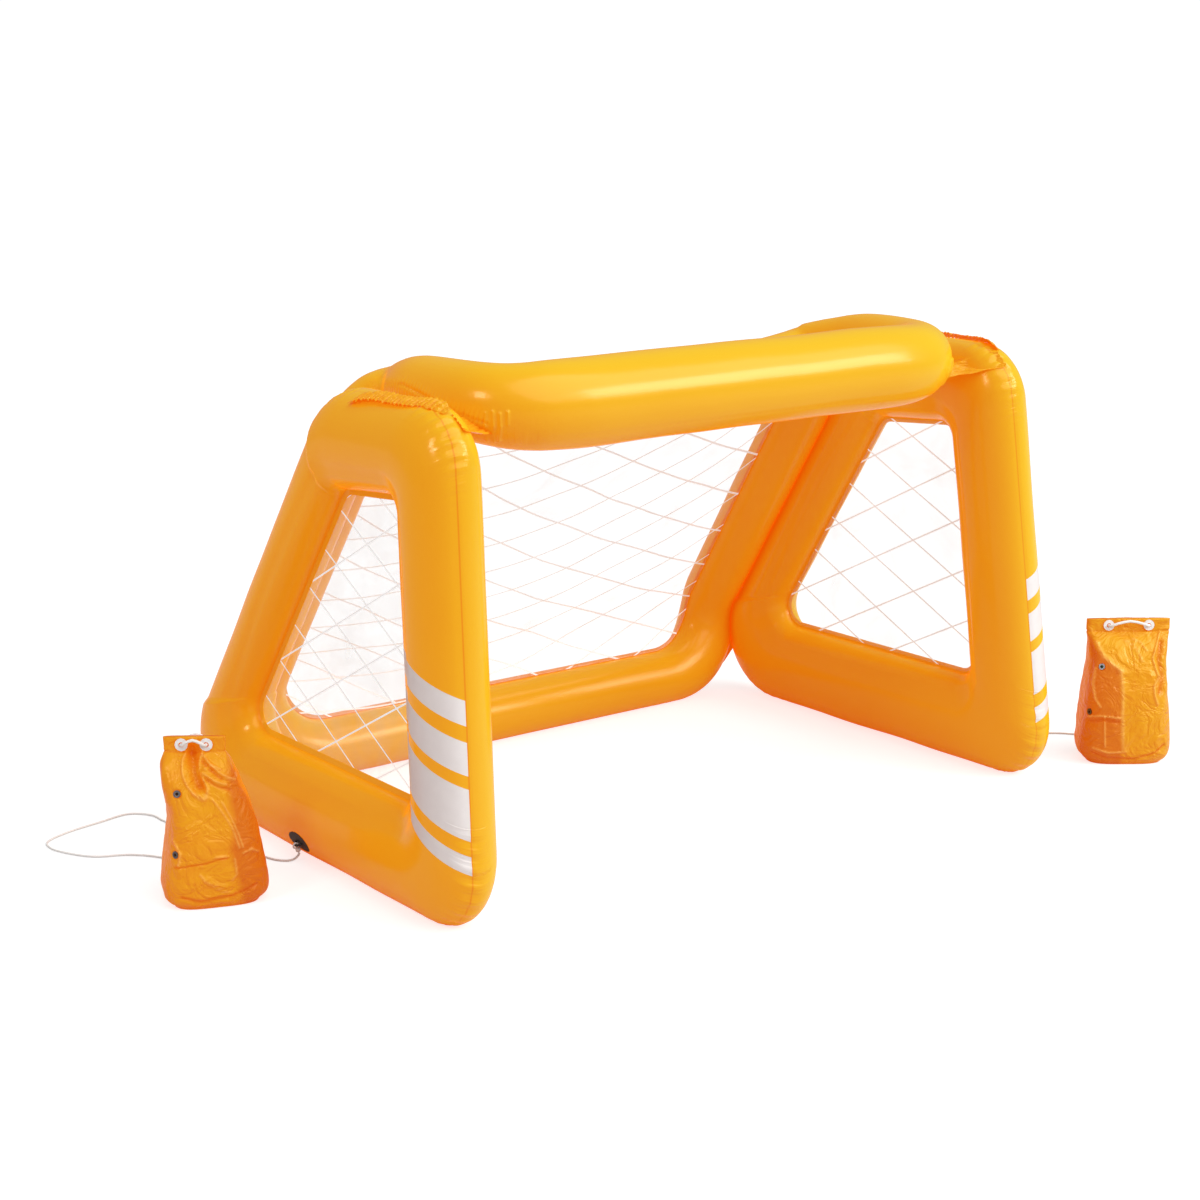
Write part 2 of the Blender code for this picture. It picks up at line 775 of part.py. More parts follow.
def anchor_patch(name, side, rows=3, spokes=16):
    """An oval welded on the skin, with the moulded lug that the rope is tied to."""
    layers = []
    for lift in (-valve_seat_depth, gap + patch_thickness):
        layers.append(bottom_limb_point(side, patch_y, patch_angle, lift))
        for row in range(1, rows + 1):
            for spoke in range(spokes):
                turn = 2 * math.pi * spoke / spokes
                reach = row / rows
                y = patch_y + patch_length / 2 * reach * math.cos(turn)
                around = patch_width / 2 * reach * math.sin(turn) / bottom_half_width
                layers.append(bottom_limb_point(side, y, patch_angle + around, lift))
    size = len(layers) // 2
    faces = []
    for base in (0, size):
        for spoke in range(spokes):
            following = (spoke + 1) % spokes
            faces.append((base, base + 1 + spoke, base + 1 + following))
            for row in range(rows - 1):
                here = base + 1 + row * spokes
                there = here + spokes
                faces.append((here + spoke, there + spoke, there + following, here + following))
    rim = 1 + (rows - 1) * spokes
    for spoke in range(spokes):
        following = (spoke + 1) % spokes
        faces.append((rim + spoke, rim + following, size + rim + following, size + rim + spoke))
    obj = new_mesh_object(name, layers, faces, patch_black, 0.45)
    foot = bottom_limb_point(side, patch_y, patch_angle, gap)
    out = (bottom_limb_point(side, patch_y, patch_angle, 1) - foot).normalized()
    path = []
    for step in range(11):
        angle = math.pi * step / 10
        path.append(foot + Vector((0, lug_radius * math.cos(angle), 0)) + out * lug_radius * math.sin(angle))
    lug = new_mesh_object(name + "_lug", *loft(tube(path, [lug_wire_radius] * len(path), 8)), patch_black, 0.45)
    add_boolean(obj, lug, "UNION")
    add_boolean(obj, frame_clearances[side])
    return foot, out


def rope_knot(name, side, foot, out):
    """The rope's end: a loop through the lug and the knot under it, in one piece."""
    down = Vector((side * out.z, 0, -abs(out.x)))
    slack = knot_loop_radius - knot_wire_radius - lug_wire_radius - gap
    centre = foot + out * lug_radius + down * slack
    rings = []
    for step in range(12):
        angle = 2 * math.pi * step / 12
        arm = out * math.cos(angle) + down * math.sin(angle)
        ring = []
        for turn in range(6):
            bend = 2 * math.pi * turn / 6
            reach = knot_loop_radius + knot_wire_radius * math.cos(bend)
            ring.append(centre + arm * reach + Vector((0, knot_wire_radius * math.sin(bend), 0)))
        rings.append(ring)
    obj = new_mesh_object(name, *loft(rings, closed=True), rope_white, 0.7)
    profile = []
    for step in range(9):
        angle = math.pi * step / 8
        radius = knot_radius * math.sin(angle) if 0 < step < 8 else 0
        profile.append((radius, knot_radius * math.cos(angle)))
    ball = turned(name + "_ball", profile, Matrix.Translation(centre + down * knot_drop), rope_white, 0.7, 10)
    add_boolean(obj, ball, "UNION")


for side, prefix in ((-1, "left"), (1, "right")):
    rope_knot(prefix + "_rope_knot", side, *anchor_patch(prefix + "_anchor_patch", side))


# Ropes, chosen by hand from the knot over the floor to the back of the bag
rope_routes = {
    "left": [
        (-0.6876, 0.0450, 0.0162),
        (-0.6905, 0.0455, 0.0112),
        (-0.6975, 0.0490, 0.0052),
        (-0.7090, 0.0570, 0.0030),
        (-0.7230, 0.0790, 0.0030),
        (-0.7370, 0.1380, 0.0030),
        (-0.7500, 0.2000, 0.0030),
        (-0.7640, 0.2700, 0.0030),
        (-0.7750, 0.3300, 0.0030),
        (-0.7810, 0.3770, 0.0030),
        (-0.7850, 0.4190, 0.0030),
        (-0.8160, 0.4500, 0.0030),
        (-0.8730, 0.4400, 0.0030),
        (-0.9430, 0.4240, 0.0030),
        (-0.9910, 0.3990, 0.0030),
        (-1.0010, 0.3640, 0.0030),
        (-0.9880, 0.3220, 0.0030),
        (-0.9580, 0.2770, 0.0030),
        (-0.9070, 0.2490, 0.0030),
        (-0.8710, 0.2050, 0.0030),
        (-0.8480, 0.1420, 0.0030),
        (-0.8440, 0.0950, 0.0032),
        (-0.8490, 0.0680, 0.0100),
        (-0.8560, 0.0580, 0.0400),
        (-0.8620, 0.0560, 0.0900),
        (-0.8680, 0.0520, 0.1450),
        (-0.8750, 0.0400, 0.1950),
        (-0.8820, 0.0230, 0.2380),
        (-0.8911, 0.0010, 0.2733),
    ],
    "right": [
        (0.6876, 0.0450, 0.0162),
        (0.6905, 0.0440, 0.0112),
        (0.6975, 0.0390, 0.0052),
        (0.7090, 0.0280, 0.0030),
        (0.7260, -0.0050, 0.0030),
        (0.7450, -0.0480, 0.0030),
        (0.7650, -0.0900, 0.0030),
        (0.7920, -0.1390, 0.0030),
        (0.8240, -0.1861, 0.0030),
        (0.8640, -0.2240, 0.0030),
        (0.8965, -0.2533, 0.0030),
        (0.9160, -0.2810, 0.0035),
        (0.9265, -0.3140, 0.0080),
        (0.9335, -0.3380, 0.0300),
        (0.9315, -0.3520, 0.0700),
        (0.9285, -0.3590, 0.1150),
        (0.9225, -0.3690, 0.1600),
        (0.9135, -0.3850, 0.2050),
        (0.9015, -0.4010, 0.2420),
        (0.8896, -0.4101, 0.2732),
    ],
}
for prefix, route in rope_routes.items():
    rope_path = smooth_path(route, 2)
    curve = bpy.data.curves.new(prefix + "_anchor_rope", "CURVE")
    curve.dimensions = "3D"
    curve.bevel_depth = rope_diameter / 2
    curve.bevel_resolution = 2
    curve.use_fill_caps = True
    spline = curve.splines.new("POLY")
    spline.points.add(len(rope_path) - 1)
    for point, spot in zip(spline.points, rope_path):
        point.co = (*spot, 1)
    curve.materials.append(make_material(prefix + "_anchor_rope", rope_white, 0.7))
    rope = bpy.data.objects.new(prefix + "_anchor_rope", curve)
    bpy.context.scene.collection.objects.link(rope)

# Height share, width share and depth share of each bag's body up to its mouth
bag_levels = {
    "left": [(0.0, 0.80, 0.75), (0.10, 0.98, 0.965), (0.42, 0.84, 1.0), (0.69, 0.72, 0.76), (0.84, 0.66, 0.42)],
    "right": [(0.0, 0.83, 0.75), (0.10, 1.0, 0.965), (0.42, 0.93, 1.0), (0.69, 0.85, 0.76), (0.84, 0.88, 0.42)],
}
bag_corner = 0.55


def bag_point(prefix, height, angle=None):
    """A point of a bag's skin: the angle runs round the section from the bag's own +X. Without it, the half width."""
    mouth = [(1 - hem_height / bag_height, mouth_widths[prefix] / bag_width, bag_mouth_depth / bag_depth)]
    mouth.append((1.0, *mouth[0][1:]))
    levels = bag_levels[prefix] + mouth
    share = min(max(height / bag_height, 0), 1)
    for (low, wide, deep), (high, next_wide, next_deep) in zip(levels, levels[1:]):
        if share <= high:
            part = (share - low) / (high - low)
            wide += (next_wide - wide) * part
            deep += (next_deep - deep) * part
            break
    if angle is None:
        return wide * bag_width / 2
    rise = min(max((share - 0.45) / (mouth[0][0] - 0.45), 0), 1)
    rise = rise * rise * (3 - 2 * rise)
    turn = body_turns[prefix] + (mouth_turn - body_turns[prefix]) * rise
    centre = Vector(base_centres[prefix]).lerp(Vector(mouth_centres[prefix]), rise)
    across = math.copysign(abs(math.cos(angle)) ** bag_corner, math.cos(angle)) * wide * bag_width / 2
    through = math.copysign(abs(math.sin(angle)) ** bag_corner, math.sin(angle)) * deep * bag_depth / 2
    x = centre.x + across * math.cos(turn) - through * math.sin(turn)
    y = centre.y + across * math.sin(turn) + through * math.cos(turn)
    return Vector((x, y, height))


def bag_outward(prefix, height, angle):
    """The direction out of a bag's skin."""
    around = bag_point(prefix, height, angle + 0.02) - bag_point(prefix, height, angle - 0.02)
    upward = bag_point(prefix, height + 0.002, angle) - bag_point(prefix, height - 0.002, angle)
    return around.cross(upward).normalized()


def ring_fitting(name, owner, spot, outward, depth, radius, hole_radius, thickness, colour, metallic):
    """A washer pressed into a shallow seat in a bag."""
    place = axes_to(spot - outward * depth, outward, (0, 0, 1))
    seat = turned(
        name + "_seat",
        [(0, 0.01), (radius + gap, 0.01), (radius + gap, 0), (0, 0)],
        place,
        colour,
        0.4,
        12,
    )
    add_boolean(owner, seat)
    turned(
        name,
        [
            (hole_radius, gap + thickness),
            (radius, gap + thickness),
            (radius, gap),
            (hole_radius, gap),
        ],
        place,
        colour,
        0.4,
        12,
        metallic,
    )
    return place


def bag_handle(name, left_end, right_end, outward):
    """A short rope from eyelet to eyelet, standing on the two seats and arching up between them."""
    reach = (right_end - left_end).length
    middle = (left_end + right_end) / 2
    along = (right_end - left_end).normalized()
    stops = []
    for across, out, up in (
        (-0.50, 0.0, 0.0),
        (-0.50, 0.45, 0.0),
        (-0.44, 0.85, 0.12),
        (-0.30, 1.0, 0.55),
        (0.0, 1.0, 1.0),
        (0.30, 1.0, 0.55),
        (0.44, 0.85, 0.12),
        (0.50, 0.45, 0.0),
        (0.50, 0.0, 0.0),
    ):
        spot = middle + along * across * reach + outward * (gap + out * handle_reach)
        stops.append(spot + Vector((0, 0, up * handle_rise)))
    path = smooth_path(stops, 2)
    rings = tube(path, [handle_rope_radius] * len(path), 8)
    new_mesh_object(name, *loft(rings), rope_white, 0.6)


for prefix in ("left", "right"):
    rings = []
    heights = [share * bag_height for share in (0, 0.04, 0.10, 0.26, 0.42, 0.52, 0.60, 0.69, 0.77, 0.84)]
    for height in heights + [bag_height - hem_height, bag_height]:
        rings.append([bag_point(prefix, height, 2 * math.pi * step / 24) for step in range(24)])
    bag = new_mesh_object(prefix + "_ballast_bag", *loft(rings), bag_orange, 0.35)
    eyelet_z = bag_height - eyelet_drop
    along = Vector((math.cos(mouth_turn), math.sin(mouth_turn), 0))
    through = Vector((-along.y, along.x, 0))
    middle = Vector((*mouth_centres[prefix], eyelet_z))
    for face, face_name in ((-1, "front"), (1, "back")):
        ends = []
        for column, column_name in ((-1, "left"), (1, "right")):
            spot = middle + along * column * eyelet_spacings[prefix] / 2
            spot += through * face * bag_mouth_depth / 2
            place = ring_fitting(
                prefix + "_bag_" + face_name + "_eyelet_" + column_name,
                bag,
                spot,
                through * face,
                seat_depth,
                eyelet_radius,
                eyelet_hole_radius,
                eyelet_thickness,
                white_plastic,
                0,
            )
            ends.append(place.translation)
        bag_handle(prefix + "_bag_" + face_name + "_handle", ends[0], ends[1], through * face)
    for level, (height, across) in drain_places[prefix].items():
        share = across / bag_point(prefix, height)
        angle = math.pi + math.acos(share ** (1 / bag_corner))
        ring_fitting(
            prefix + "_bag_drain_" + level,
            bag,
            bag_point(prefix, height, angle),
            bag_outward(prefix, height, angle),
            drain_seat_depth,
            drain_radius,
            drain_hole_radius,
            drain_thickness,
            drain_metal,
            0.9,
        )
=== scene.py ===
import math

import bmesh
import bpy
import numpy as np
from mathutils import Matrix, Vector, noise
from mathutils.bvhtree import BVHTree
from mathutils.kdtree import KDTree


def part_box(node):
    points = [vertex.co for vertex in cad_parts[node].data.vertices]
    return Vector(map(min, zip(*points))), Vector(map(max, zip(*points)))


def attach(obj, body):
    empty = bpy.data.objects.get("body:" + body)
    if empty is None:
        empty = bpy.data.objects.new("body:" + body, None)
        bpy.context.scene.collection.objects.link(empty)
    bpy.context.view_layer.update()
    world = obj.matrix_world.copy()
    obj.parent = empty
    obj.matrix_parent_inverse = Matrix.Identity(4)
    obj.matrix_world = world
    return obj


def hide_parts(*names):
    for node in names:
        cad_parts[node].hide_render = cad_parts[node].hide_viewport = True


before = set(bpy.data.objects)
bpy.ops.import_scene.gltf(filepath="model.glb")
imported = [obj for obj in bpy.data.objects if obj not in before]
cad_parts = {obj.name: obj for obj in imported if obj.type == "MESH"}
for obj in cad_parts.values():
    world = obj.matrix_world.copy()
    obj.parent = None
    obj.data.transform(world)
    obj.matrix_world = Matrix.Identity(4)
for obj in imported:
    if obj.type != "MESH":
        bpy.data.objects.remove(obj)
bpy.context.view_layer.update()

# Camera: it stands left of the open front, about four metres away and 1.3 metres up.
# It looks a little down across the goal, and is rolled by less than half a degree.
camera_place = Vector((-2.428, -3.143, 1.317))
camera_turn = math.radians(36.81)
camera_drop = math.radians(13.46)
camera_roll = math.radians(-0.395)
camera_lens = 66.68

ahead = Vector((
    math.sin(camera_turn) * math.cos(camera_drop),
    math.cos(camera_turn) * math.cos(camera_drop),
    -math.sin(camera_drop),
))
across = Vector((math.cos(camera_turn), -math.sin(camera_turn), 0))
above = across.cross(ahead)
level_across = across * math.cos(camera_roll) + above * math.sin(camera_roll)
level_above = above * math.cos(camera_roll) - across * math.sin(camera_roll)
camera_data = bpy.data.cameras.new("photo_camera")
camera_data.lens = camera_lens
camera_data.sensor_width = 36
camera = bpy.data.objects.new("photo_camera", camera_data)
bpy.context.scene.collection.objects.link(camera)
camera_axes = Matrix((level_across, level_above, -ahead)).transposed()
camera.matrix_world = Matrix.Translation(camera_place) @ camera_axes.to_4x4()
bpy.context.scene.camera = camera


# Ropes: thin white laid cord of three strands, tied to the lug on each side frame.
# Each lies loose on the floor and runs up the back of its bag to the rope handle.
rope_diameter = 0.004
rope_lay = 0.012
rope_routes = {
    "left": [
        (-0.6876, 0.0450, 0.0162),
        (-0.6905, 0.0455, 0.0112),
        (-0.6975, 0.0490, 0.0052),
        (-0.7090, 0.0570, 0.0030),
        (-0.7230, 0.0790, 0.0030),
        (-0.7370, 0.1380, 0.0030),
        (-0.7500, 0.2000, 0.0030),
        (-0.7640, 0.2700, 0.0030),
        (-0.7750, 0.3300, 0.0030),
        (-0.7810, 0.3770, 0.0030),
        (-0.7850, 0.4190, 0.0030),
        (-0.8160, 0.4500, 0.0030),
        (-0.8730, 0.4400, 0.0030),
        (-0.9430, 0.4240, 0.0030),
        (-0.9910, 0.3990, 0.0030),
        (-1.0010, 0.3640, 0.0030),
        (-0.9880, 0.3220, 0.0030),
        (-0.9580, 0.2770, 0.0030),
        (-0.9070, 0.2490, 0.0030),
        (-0.8710, 0.2050, 0.0030),
        (-0.8480, 0.1420, 0.0030),
        (-0.8440, 0.0950, 0.0032),
        (-0.8490, 0.0680, 0.0100),
        (-0.8560, 0.0580, 0.0400),
        (-0.8620, 0.0560, 0.0900),
        (-0.8680, 0.0520, 0.1450),
        (-0.8750, 0.0400, 0.1950),
        (-0.8820, 0.0230, 0.2380),
        (-0.8911, 0.0010, 0.2733),
    ],
    "right": [
        (0.6876, 0.0450, 0.0162),
        (0.6905, 0.0440, 0.0112),
        (0.6975, 0.0390, 0.0052),
        (0.7090, 0.0280, 0.0030),
        (0.7260, -0.0050, 0.0030),
        (0.7450, -0.0480, 0.0030),
        (0.7650, -0.0900, 0.0030),
        (0.7920, -0.1390, 0.0030),
        (0.8240, -0.1861, 0.0030),
        (0.8640, -0.2240, 0.0030),
        (0.8965, -0.2533, 0.0030),
        (0.9160, -0.2810, 0.0035),
        (0.9265, -0.3140, 0.0080),
        (0.9335, -0.3380, 0.0300),
        (0.9315, -0.3520, 0.0700),
        (0.9285, -0.3590, 0.1150),
        (0.9225, -0.3690, 0.1600),
        (0.9135, -0.3850, 0.2050),
        (0.9015, -0.4010, 0.2420),
        (0.8896, -0.4101, 0.2732),
    ],
}


def smooth_path(points, per_span):
    """A curve through the points, as an array."""
    stops = np.array(points, float)
    stops = np.vstack([stops[0] * 2 - stops[1], stops, stops[-1] * 2 - stops[-2]])
    path = []
    for index in range(1, len(stops) - 2):
        before, here, there, after = stops[index - 1 : index + 3]
        for step in range(per_span):
            t = step / per_span
            bend = (before * 2 - here * 5 + there * 4 - after) * t**2
            twist = (here * 3 - before - there * 3 + after) * t**3
            path.append((here * 2 + (there - before) * t + bend + twist) / 2)
    path.append(stops[-2])
    return np.array(path)


def evenly(path, spacing):
    """The same path with evenly spaced points, and how far along it each lies."""
    lengths = np.concatenate([[0], np.cumsum(np.linalg.norm(np.diff(path, axis=0), axis=1))])
    along = np.linspace(0, lengths[-1], max(2, round(lengths[-1] / spacing)))
    return np.stack([np.interp(along, lengths, path[:, axis]) for axis in range(path.shape[1])], 1), along


def grid_mesh(name, rings, closed_rows=False, caps=True, wrap=True):
    """An object from an array of rings of points. The rings are closed loops unless wrap is off."""
    rows, columns = len(rings), len(rings[0])
    points = np.asarray(rings, float).reshape(-1, 3)
    faces = []
    for row in range(rows if closed_rows else rows - 1):
        here = row * columns
        there = (row + 1) % rows * columns
        for column in range(columns if wrap else columns - 1):
            beside = (column + 1) % columns
            faces.append((here + column, here + beside, there + beside, there + column))
    if caps and not closed_rows:
        faces.append(tuple(range(columns))[::-1])
        faces.append(tuple(range(len(points) - columns, len(points))))
    mesh = bpy.data.meshes.new(name)
    mesh.from_pydata(points.tolist(), [], faces)
    work = bmesh.new()
    work.from_mesh(mesh)
    bmesh.ops.recalc_face_normals(work, faces=work.faces[:])
    work.to_mesh(mesh)
    work.free()
    mesh.shade_smooth()
    piece = bpy.data.objects.new(name, mesh)
    bpy.context.scene.collection.objects.link(piece)
    return piece


def sections(path):
    """Two directions across a path at each point, turned as little as possible."""
    ahead_of = np.gradient(path, axis=0)
    ahead_of /= np.linalg.norm(ahead_of, axis=1)[:, None]
    side = np.array(Vector(ahead_of[0]).orthogonal().normalized())
    sides = []
    for direction in ahead_of:
        side = side - direction * side.dot(direction)
        side = side / np.linalg.norm(side)
        sides.append(side)
    sides = np.array(sides)
    return sides, np.cross(ahead_of, sides)


def laid_cord(name, points, diameter, lay, spacing=0.0012, facets=12):
    """A cord of three strands laid round each other, as a mesh, and the line that it follows."""
    path, along = evenly(smooth_path(points, 12), spacing)
    sides, ups = sections(path)
    rings = []
    for index, point in enumerate(path):
        ring = []
        for step in range(facets):
            angle = 2 * math.pi * step / facets
            strand = abs(math.cos(1.5 * (angle - 2 * math.pi * along[index] / lay)))
            reach = diameter / 2 * (0.84 + 0.16 * strand)
            ring.append(point + (sides[index] * math.cos(angle) + ups[index] * math.sin(angle)) * reach)
        rings.append(ring)
    return grid_mesh(name, rings), path, along[-1]


def finish(name, roughness, coat=0.0):
    """A new material with its node tree and shader."""
    material = bpy.data.materials.new(name)
    material.use_nodes = True
    shader = material.node_tree.nodes["Principled BSDF"]
    shader.inputs["Roughness"].default_value = roughness
    shader.inputs["Coat Weight"].default_value = coat
    return material, material.node_tree, shader


def node(tree, kind, **settings):
    """A node with settings and inputs by name. An input is a value or another node's output."""
    made = tree.nodes.new(kind)
    for key, value in settings.items():
        if key in made.bl_rna.properties:
            setattr(made, key, value)
            continue
        socket = made.inputs[int(key[1:])] if key[0] == "_" else made.inputs[key.replace("_", " ")]
        if isinstance(value, bpy.types.NodeSocket):
            tree.links.new(value, socket)
        else:
            socket.default_value = value
    return made


def sums(tree, operation, first, second=0.0, third=0.0, clamp=False):
    """The output of one step of arithmetic."""
    terms = {"_0": first, "_1": second, "_2": third}
    return node(tree, "ShaderNodeMath", operation=operation, use_clamp=clamp, **terms).outputs[0]


def grain(tree, scale, detail=2.0, distortion=0.0, place=None):
    """Noise over the piece's own coordinates."""
    if place is None:
        place = node(tree, "ShaderNodeTexCoord").outputs["Object"]
    made = node(tree, "ShaderNodeTexNoise", Scale=scale, Detail=detail, Distortion=distortion)
    tree.links.new(place, made.inputs["Vector"])
    return made.outputs["Fac"]


def blended(tree, share, first, second):
    """A colour between two, by a share from 0 to 1."""
    mix = node(tree, "ShaderNodeMix", data_type="RGBA", _0=share)
    for socket, colour in ((mix.inputs[6], first), (mix.inputs[7], second)):
        if isinstance(colour, bpy.types.NodeSocket):
            tree.links.new(colour, socket)
        else:
            socket.default_value = (*colour, 1)
    return mix.outputs[2]


def add_bump(tree, shader, height, distance, strength=1.0):
    bump = node(tree, "ShaderNodeBump", Distance=distance, Strength=strength)
    tree.links.new(height, bump.inputs["Height"])
    tree.links.new(bump.outputs["Normal"], shader.inputs["Normal"])


def rope_finish():
    material, tree, shader = finish("white_rope", 0.65)
    fuzz = grain(tree, 900, 3)
    colour = blended(tree, fuzz, (0.72, 0.70, 0.68), (0.90, 0.89, 0.87))
    tree.links.new(colour, shader.inputs["Base Color"])
    add_bump(tree, shader, fuzz, 0.0004, 0.6)
    return material


rope_material = rope_finish()
rope_pieces = {}
for prefix, route in rope_routes.items():
    rope, line, length = laid_cord(prefix + "_rope", route, rope_diameter, rope_lay)
    rope.data.materials.append(rope_material)
    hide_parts(prefix + "_anchor_rope")
    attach(rope, "goal")
    rope_pieces[prefix] = rope


# Side frames: each is one air chamber of two welded sheets of glossy yellow vinyl round a window.
# The sheets meet in a welded seam round the outside and in a flat welded flange round the window.
frame_base_x = 0.638
frame_lean = 0.045
frame_half_thickness = 0.062
floor_press = 0.0020
bottom_half_width = 0.085
post_half_width = 0.0755
slope_half_width = 0.055
top_half_width = 0.085
flange_width = 0.010
flange_thickness = 0.0012
window_bottom_z = 2 * bottom_half_width + flange_width
window_height = 0.460
window_top_rise = 0.015
window_radius = 0.032
window_corners = [
    Vector((-0.265, window_bottom_z)),
    Vector((0.295, window_bottom_z)),
    Vector((-0.0245, window_bottom_z + window_height)),
    Vector((-0.215, window_bottom_z + window_height + window_top_rise)),
]
frame_outer_radii = [0.095, 0.133, 0.130, 0.100]
seam_shift = {-1: 0.24, 1: -0.20}
shoulder_place = 0.040
shoulder_depth = 0.0040
seam_groove_depth = 0.0011
seam_groove_width = 0.0022
chamber_swell = 0.0016
# Painted glow: the vinyl emits this much red-orange light of its own.
painted_sheet_glow = 0.58
print_dimming = 0.50


def rounded_outline(corners, radii, arc_steps, side_steps):
    """Points round a polygon whose corners are circular arcs, as many for every outline of four corners."""
    arcs = []
    for index, corner in enumerate(corners):
        before = (corners[index - 1] - corner).normalized()
        after = (corners[(index + 1) % len(corners)] - corner).normalized()
        half = before.angle(after) / 2
        centre = corner + (before + after).normalized() * radii[index] / math.sin(half)
        start = corner + before * radii[index] / math.tan(half) - centre
        end = corner + after * radii[index] / math.tan(half) - centre
        sweep = start.angle(end)
        arc = []
        for step in range(arc_steps + 1):
            share = step / arc_steps
            arm = start * math.sin((1 - share) * sweep) + end * math.sin(share * sweep)
            arc.append(centre + arm / math.sin(sweep))
        arcs.append(arc)
    points = []
    for index, arc in enumerate(arcs):
        points += arc
        following = arcs[(index + 1) % len(arcs)][0]
        points += [arc[-1].lerp(following, step / side_steps) for step in range(1, side_steps)]
    return np.array([tuple(point) for point in points])


def grown_corners(corners, widths):
    """The corners of a polygon whose side from corner i to i + 1 is moved out by widths[i]."""
    centre = sum(corners, Vector((0, 0))) / len(corners)
    lines = []
    for index, start in enumerate(corners):
        along = (corners[(index + 1) % len(corners)] - start).normalized()
        out = Vector((along.y, -along.x))
        if out.dot(start - centre) < 0:
            out = -out
        lines.append((start + out * widths[index], along))
    grown = []
    for index, (point, along) in enumerate(lines):
        before_point, before_along = lines[index - 1]
        turn = before_along.x * along.y - before_along.y * along.x
        offset = point - before_point
        grown.append(before_point + before_along * (offset.x * along.y - offset.y * along.x) / turn)
    return grown


def at_height(low, high, height):
    return low.lerp(high, (height - low.y) / (high.y - low.y))


def chamber_rings(outlines, half_thickness, place, turn, shoulder, facets):
    """The skin of a blown-up ring of two sheets: points, and for each its distance from the outer seam
    along the sheet, its place along the seam, its distance from the weld and how sharply the seam bends."""
    outer, weld, edge = outlines
    middles = (outer + weld) / 2
    along = np.roll(middles, -1, 0) - np.roll(middles, 1, 0)
    along /= np.linalg.norm(along, axis=1)[:, None]
    arms = outer - middles
    half_widths = np.abs(arms[:, 0] * along[:, 1] - arms[:, 1] * along[:, 0])
    bulges = np.minimum(half_thickness, half_widths)
    steps = np.linalg.norm(np.roll(outer, -1, 0) - outer, axis=1)
    seam_along = np.concatenate([[0], np.cumsum(steps)[:-1]])
    ways = np.roll(outer, -1, 0) - outer
    headings = np.unwrap(np.arctan2(ways[:, 1], ways[:, 0]))
    bends = np.abs(headings - np.roll(headings, 1)) % math.pi / np.maximum(steps, 1e-4)
    bends = np.convolve(np.concatenate([bends[-12:], bends, bends[:12]]), np.ones(25) / 25, "valid")
    near = np.array([0.012, 0.026, 0.045, 0.075, 0.12, 0.18])
    half = np.concatenate([near, np.linspace(0.26, math.pi - 0.05, facets)])
    angles = np.concatenate([-half[::-1], [0], half])
    rings = []
    marks = []
    for index in range(len(outer)):
        arm_length = np.linalg.norm(arms[index])
        points = []
        depth = arm_length * (1 + np.cos(angles))
        fold = shoulder * np.exp(-(((depth - shoulder_place) / 0.007) ** 2))
        offs = bulges[index] * np.sin(angles)
        offs -= np.sign(offs) * fold * (np.abs(offs) > bulges[index] * 0.3)
        for angle, off in zip(angles, offs):
            spot = middles[index] + arms[index] * math.cos(angle)
            points.append(np.array(place(spot, off)))
        points = np.array(points)
        lengths = np.concatenate([[0], np.cumsum(np.linalg.norm(np.diff(points, axis=0), axis=1))])
        seam = np.interp(turn, angles, lengths)
        half_flange = flange_thickness / 2
        fore = [place(edge[index], half_flange), place(weld[index], half_flange)]
        aft = [place(weld[index], -half_flange), place(edge[index], -half_flange)]
        rings.append(np.array([aft[1], aft[0], *points, fore[1], fore[0]]))
        from_seam = np.concatenate([[-9, -9], lengths - seam, [9, 9]])
        from_weld = np.concatenate([[0, 0], np.minimum(lengths, lengths[-1] - lengths) + 0.001, [0, 0]])
        same = np.ones(len(from_seam))
        marks.append(np.stack([from_seam, same * seam_along[index], from_weld, same * bends[index]], 1))
    return np.array(rings), np.array(marks), seam_along[-1]


def ripple(along, total, waves, drift):
    """An uneven ripple from 0 to 1 that closes on itself round a seam."""
    turn = 2 * math.pi * along / total
    wander = 2.2 * np.sin(3 * turn + drift) + 1.3 * np.sin(7 * turn + 2 * drift)
    return 0.5 + 0.5 * np.cos(waves * turn + wander)


def mesh_points(mesh, value="co"):
    """The mesh's points, or their normals, as an array."""
    points = np.empty(len(mesh.vertices) * 3)
    mesh.vertices.foreach_get(value, points)
    return points.reshape(-1, 3)


def set_points(mesh, points):
    mesh.vertices.foreach_set("co", np.ascontiguousarray(points).ravel())
    mesh.update()


def keep_value(piece, name, values):
    """Keeps a value of each point with the mesh, for its material to read."""
    attribute = piece.data.attributes.new(name, "FLOAT", "POINT")
    attribute.data.foreach_set("value", np.ascontiguousarray(values, np.float32))


def keep_places(piece, name, places):
    """Keeps three values of each point with the mesh, for its material to read."""
    attribute = piece.data.attributes.new(name, "FLOAT_VECTOR", "POINT")
    attribute.data.foreach_set("vector", np.ascontiguousarray(places, np.float32).ravel())


def add_marks(piece, marks):
    flat = marks.reshape(-1, 4)
    keep_places(piece, "sheet_place", flat[:, :3])
    keep_value(piece, "seam_bend", flat[:, 3])


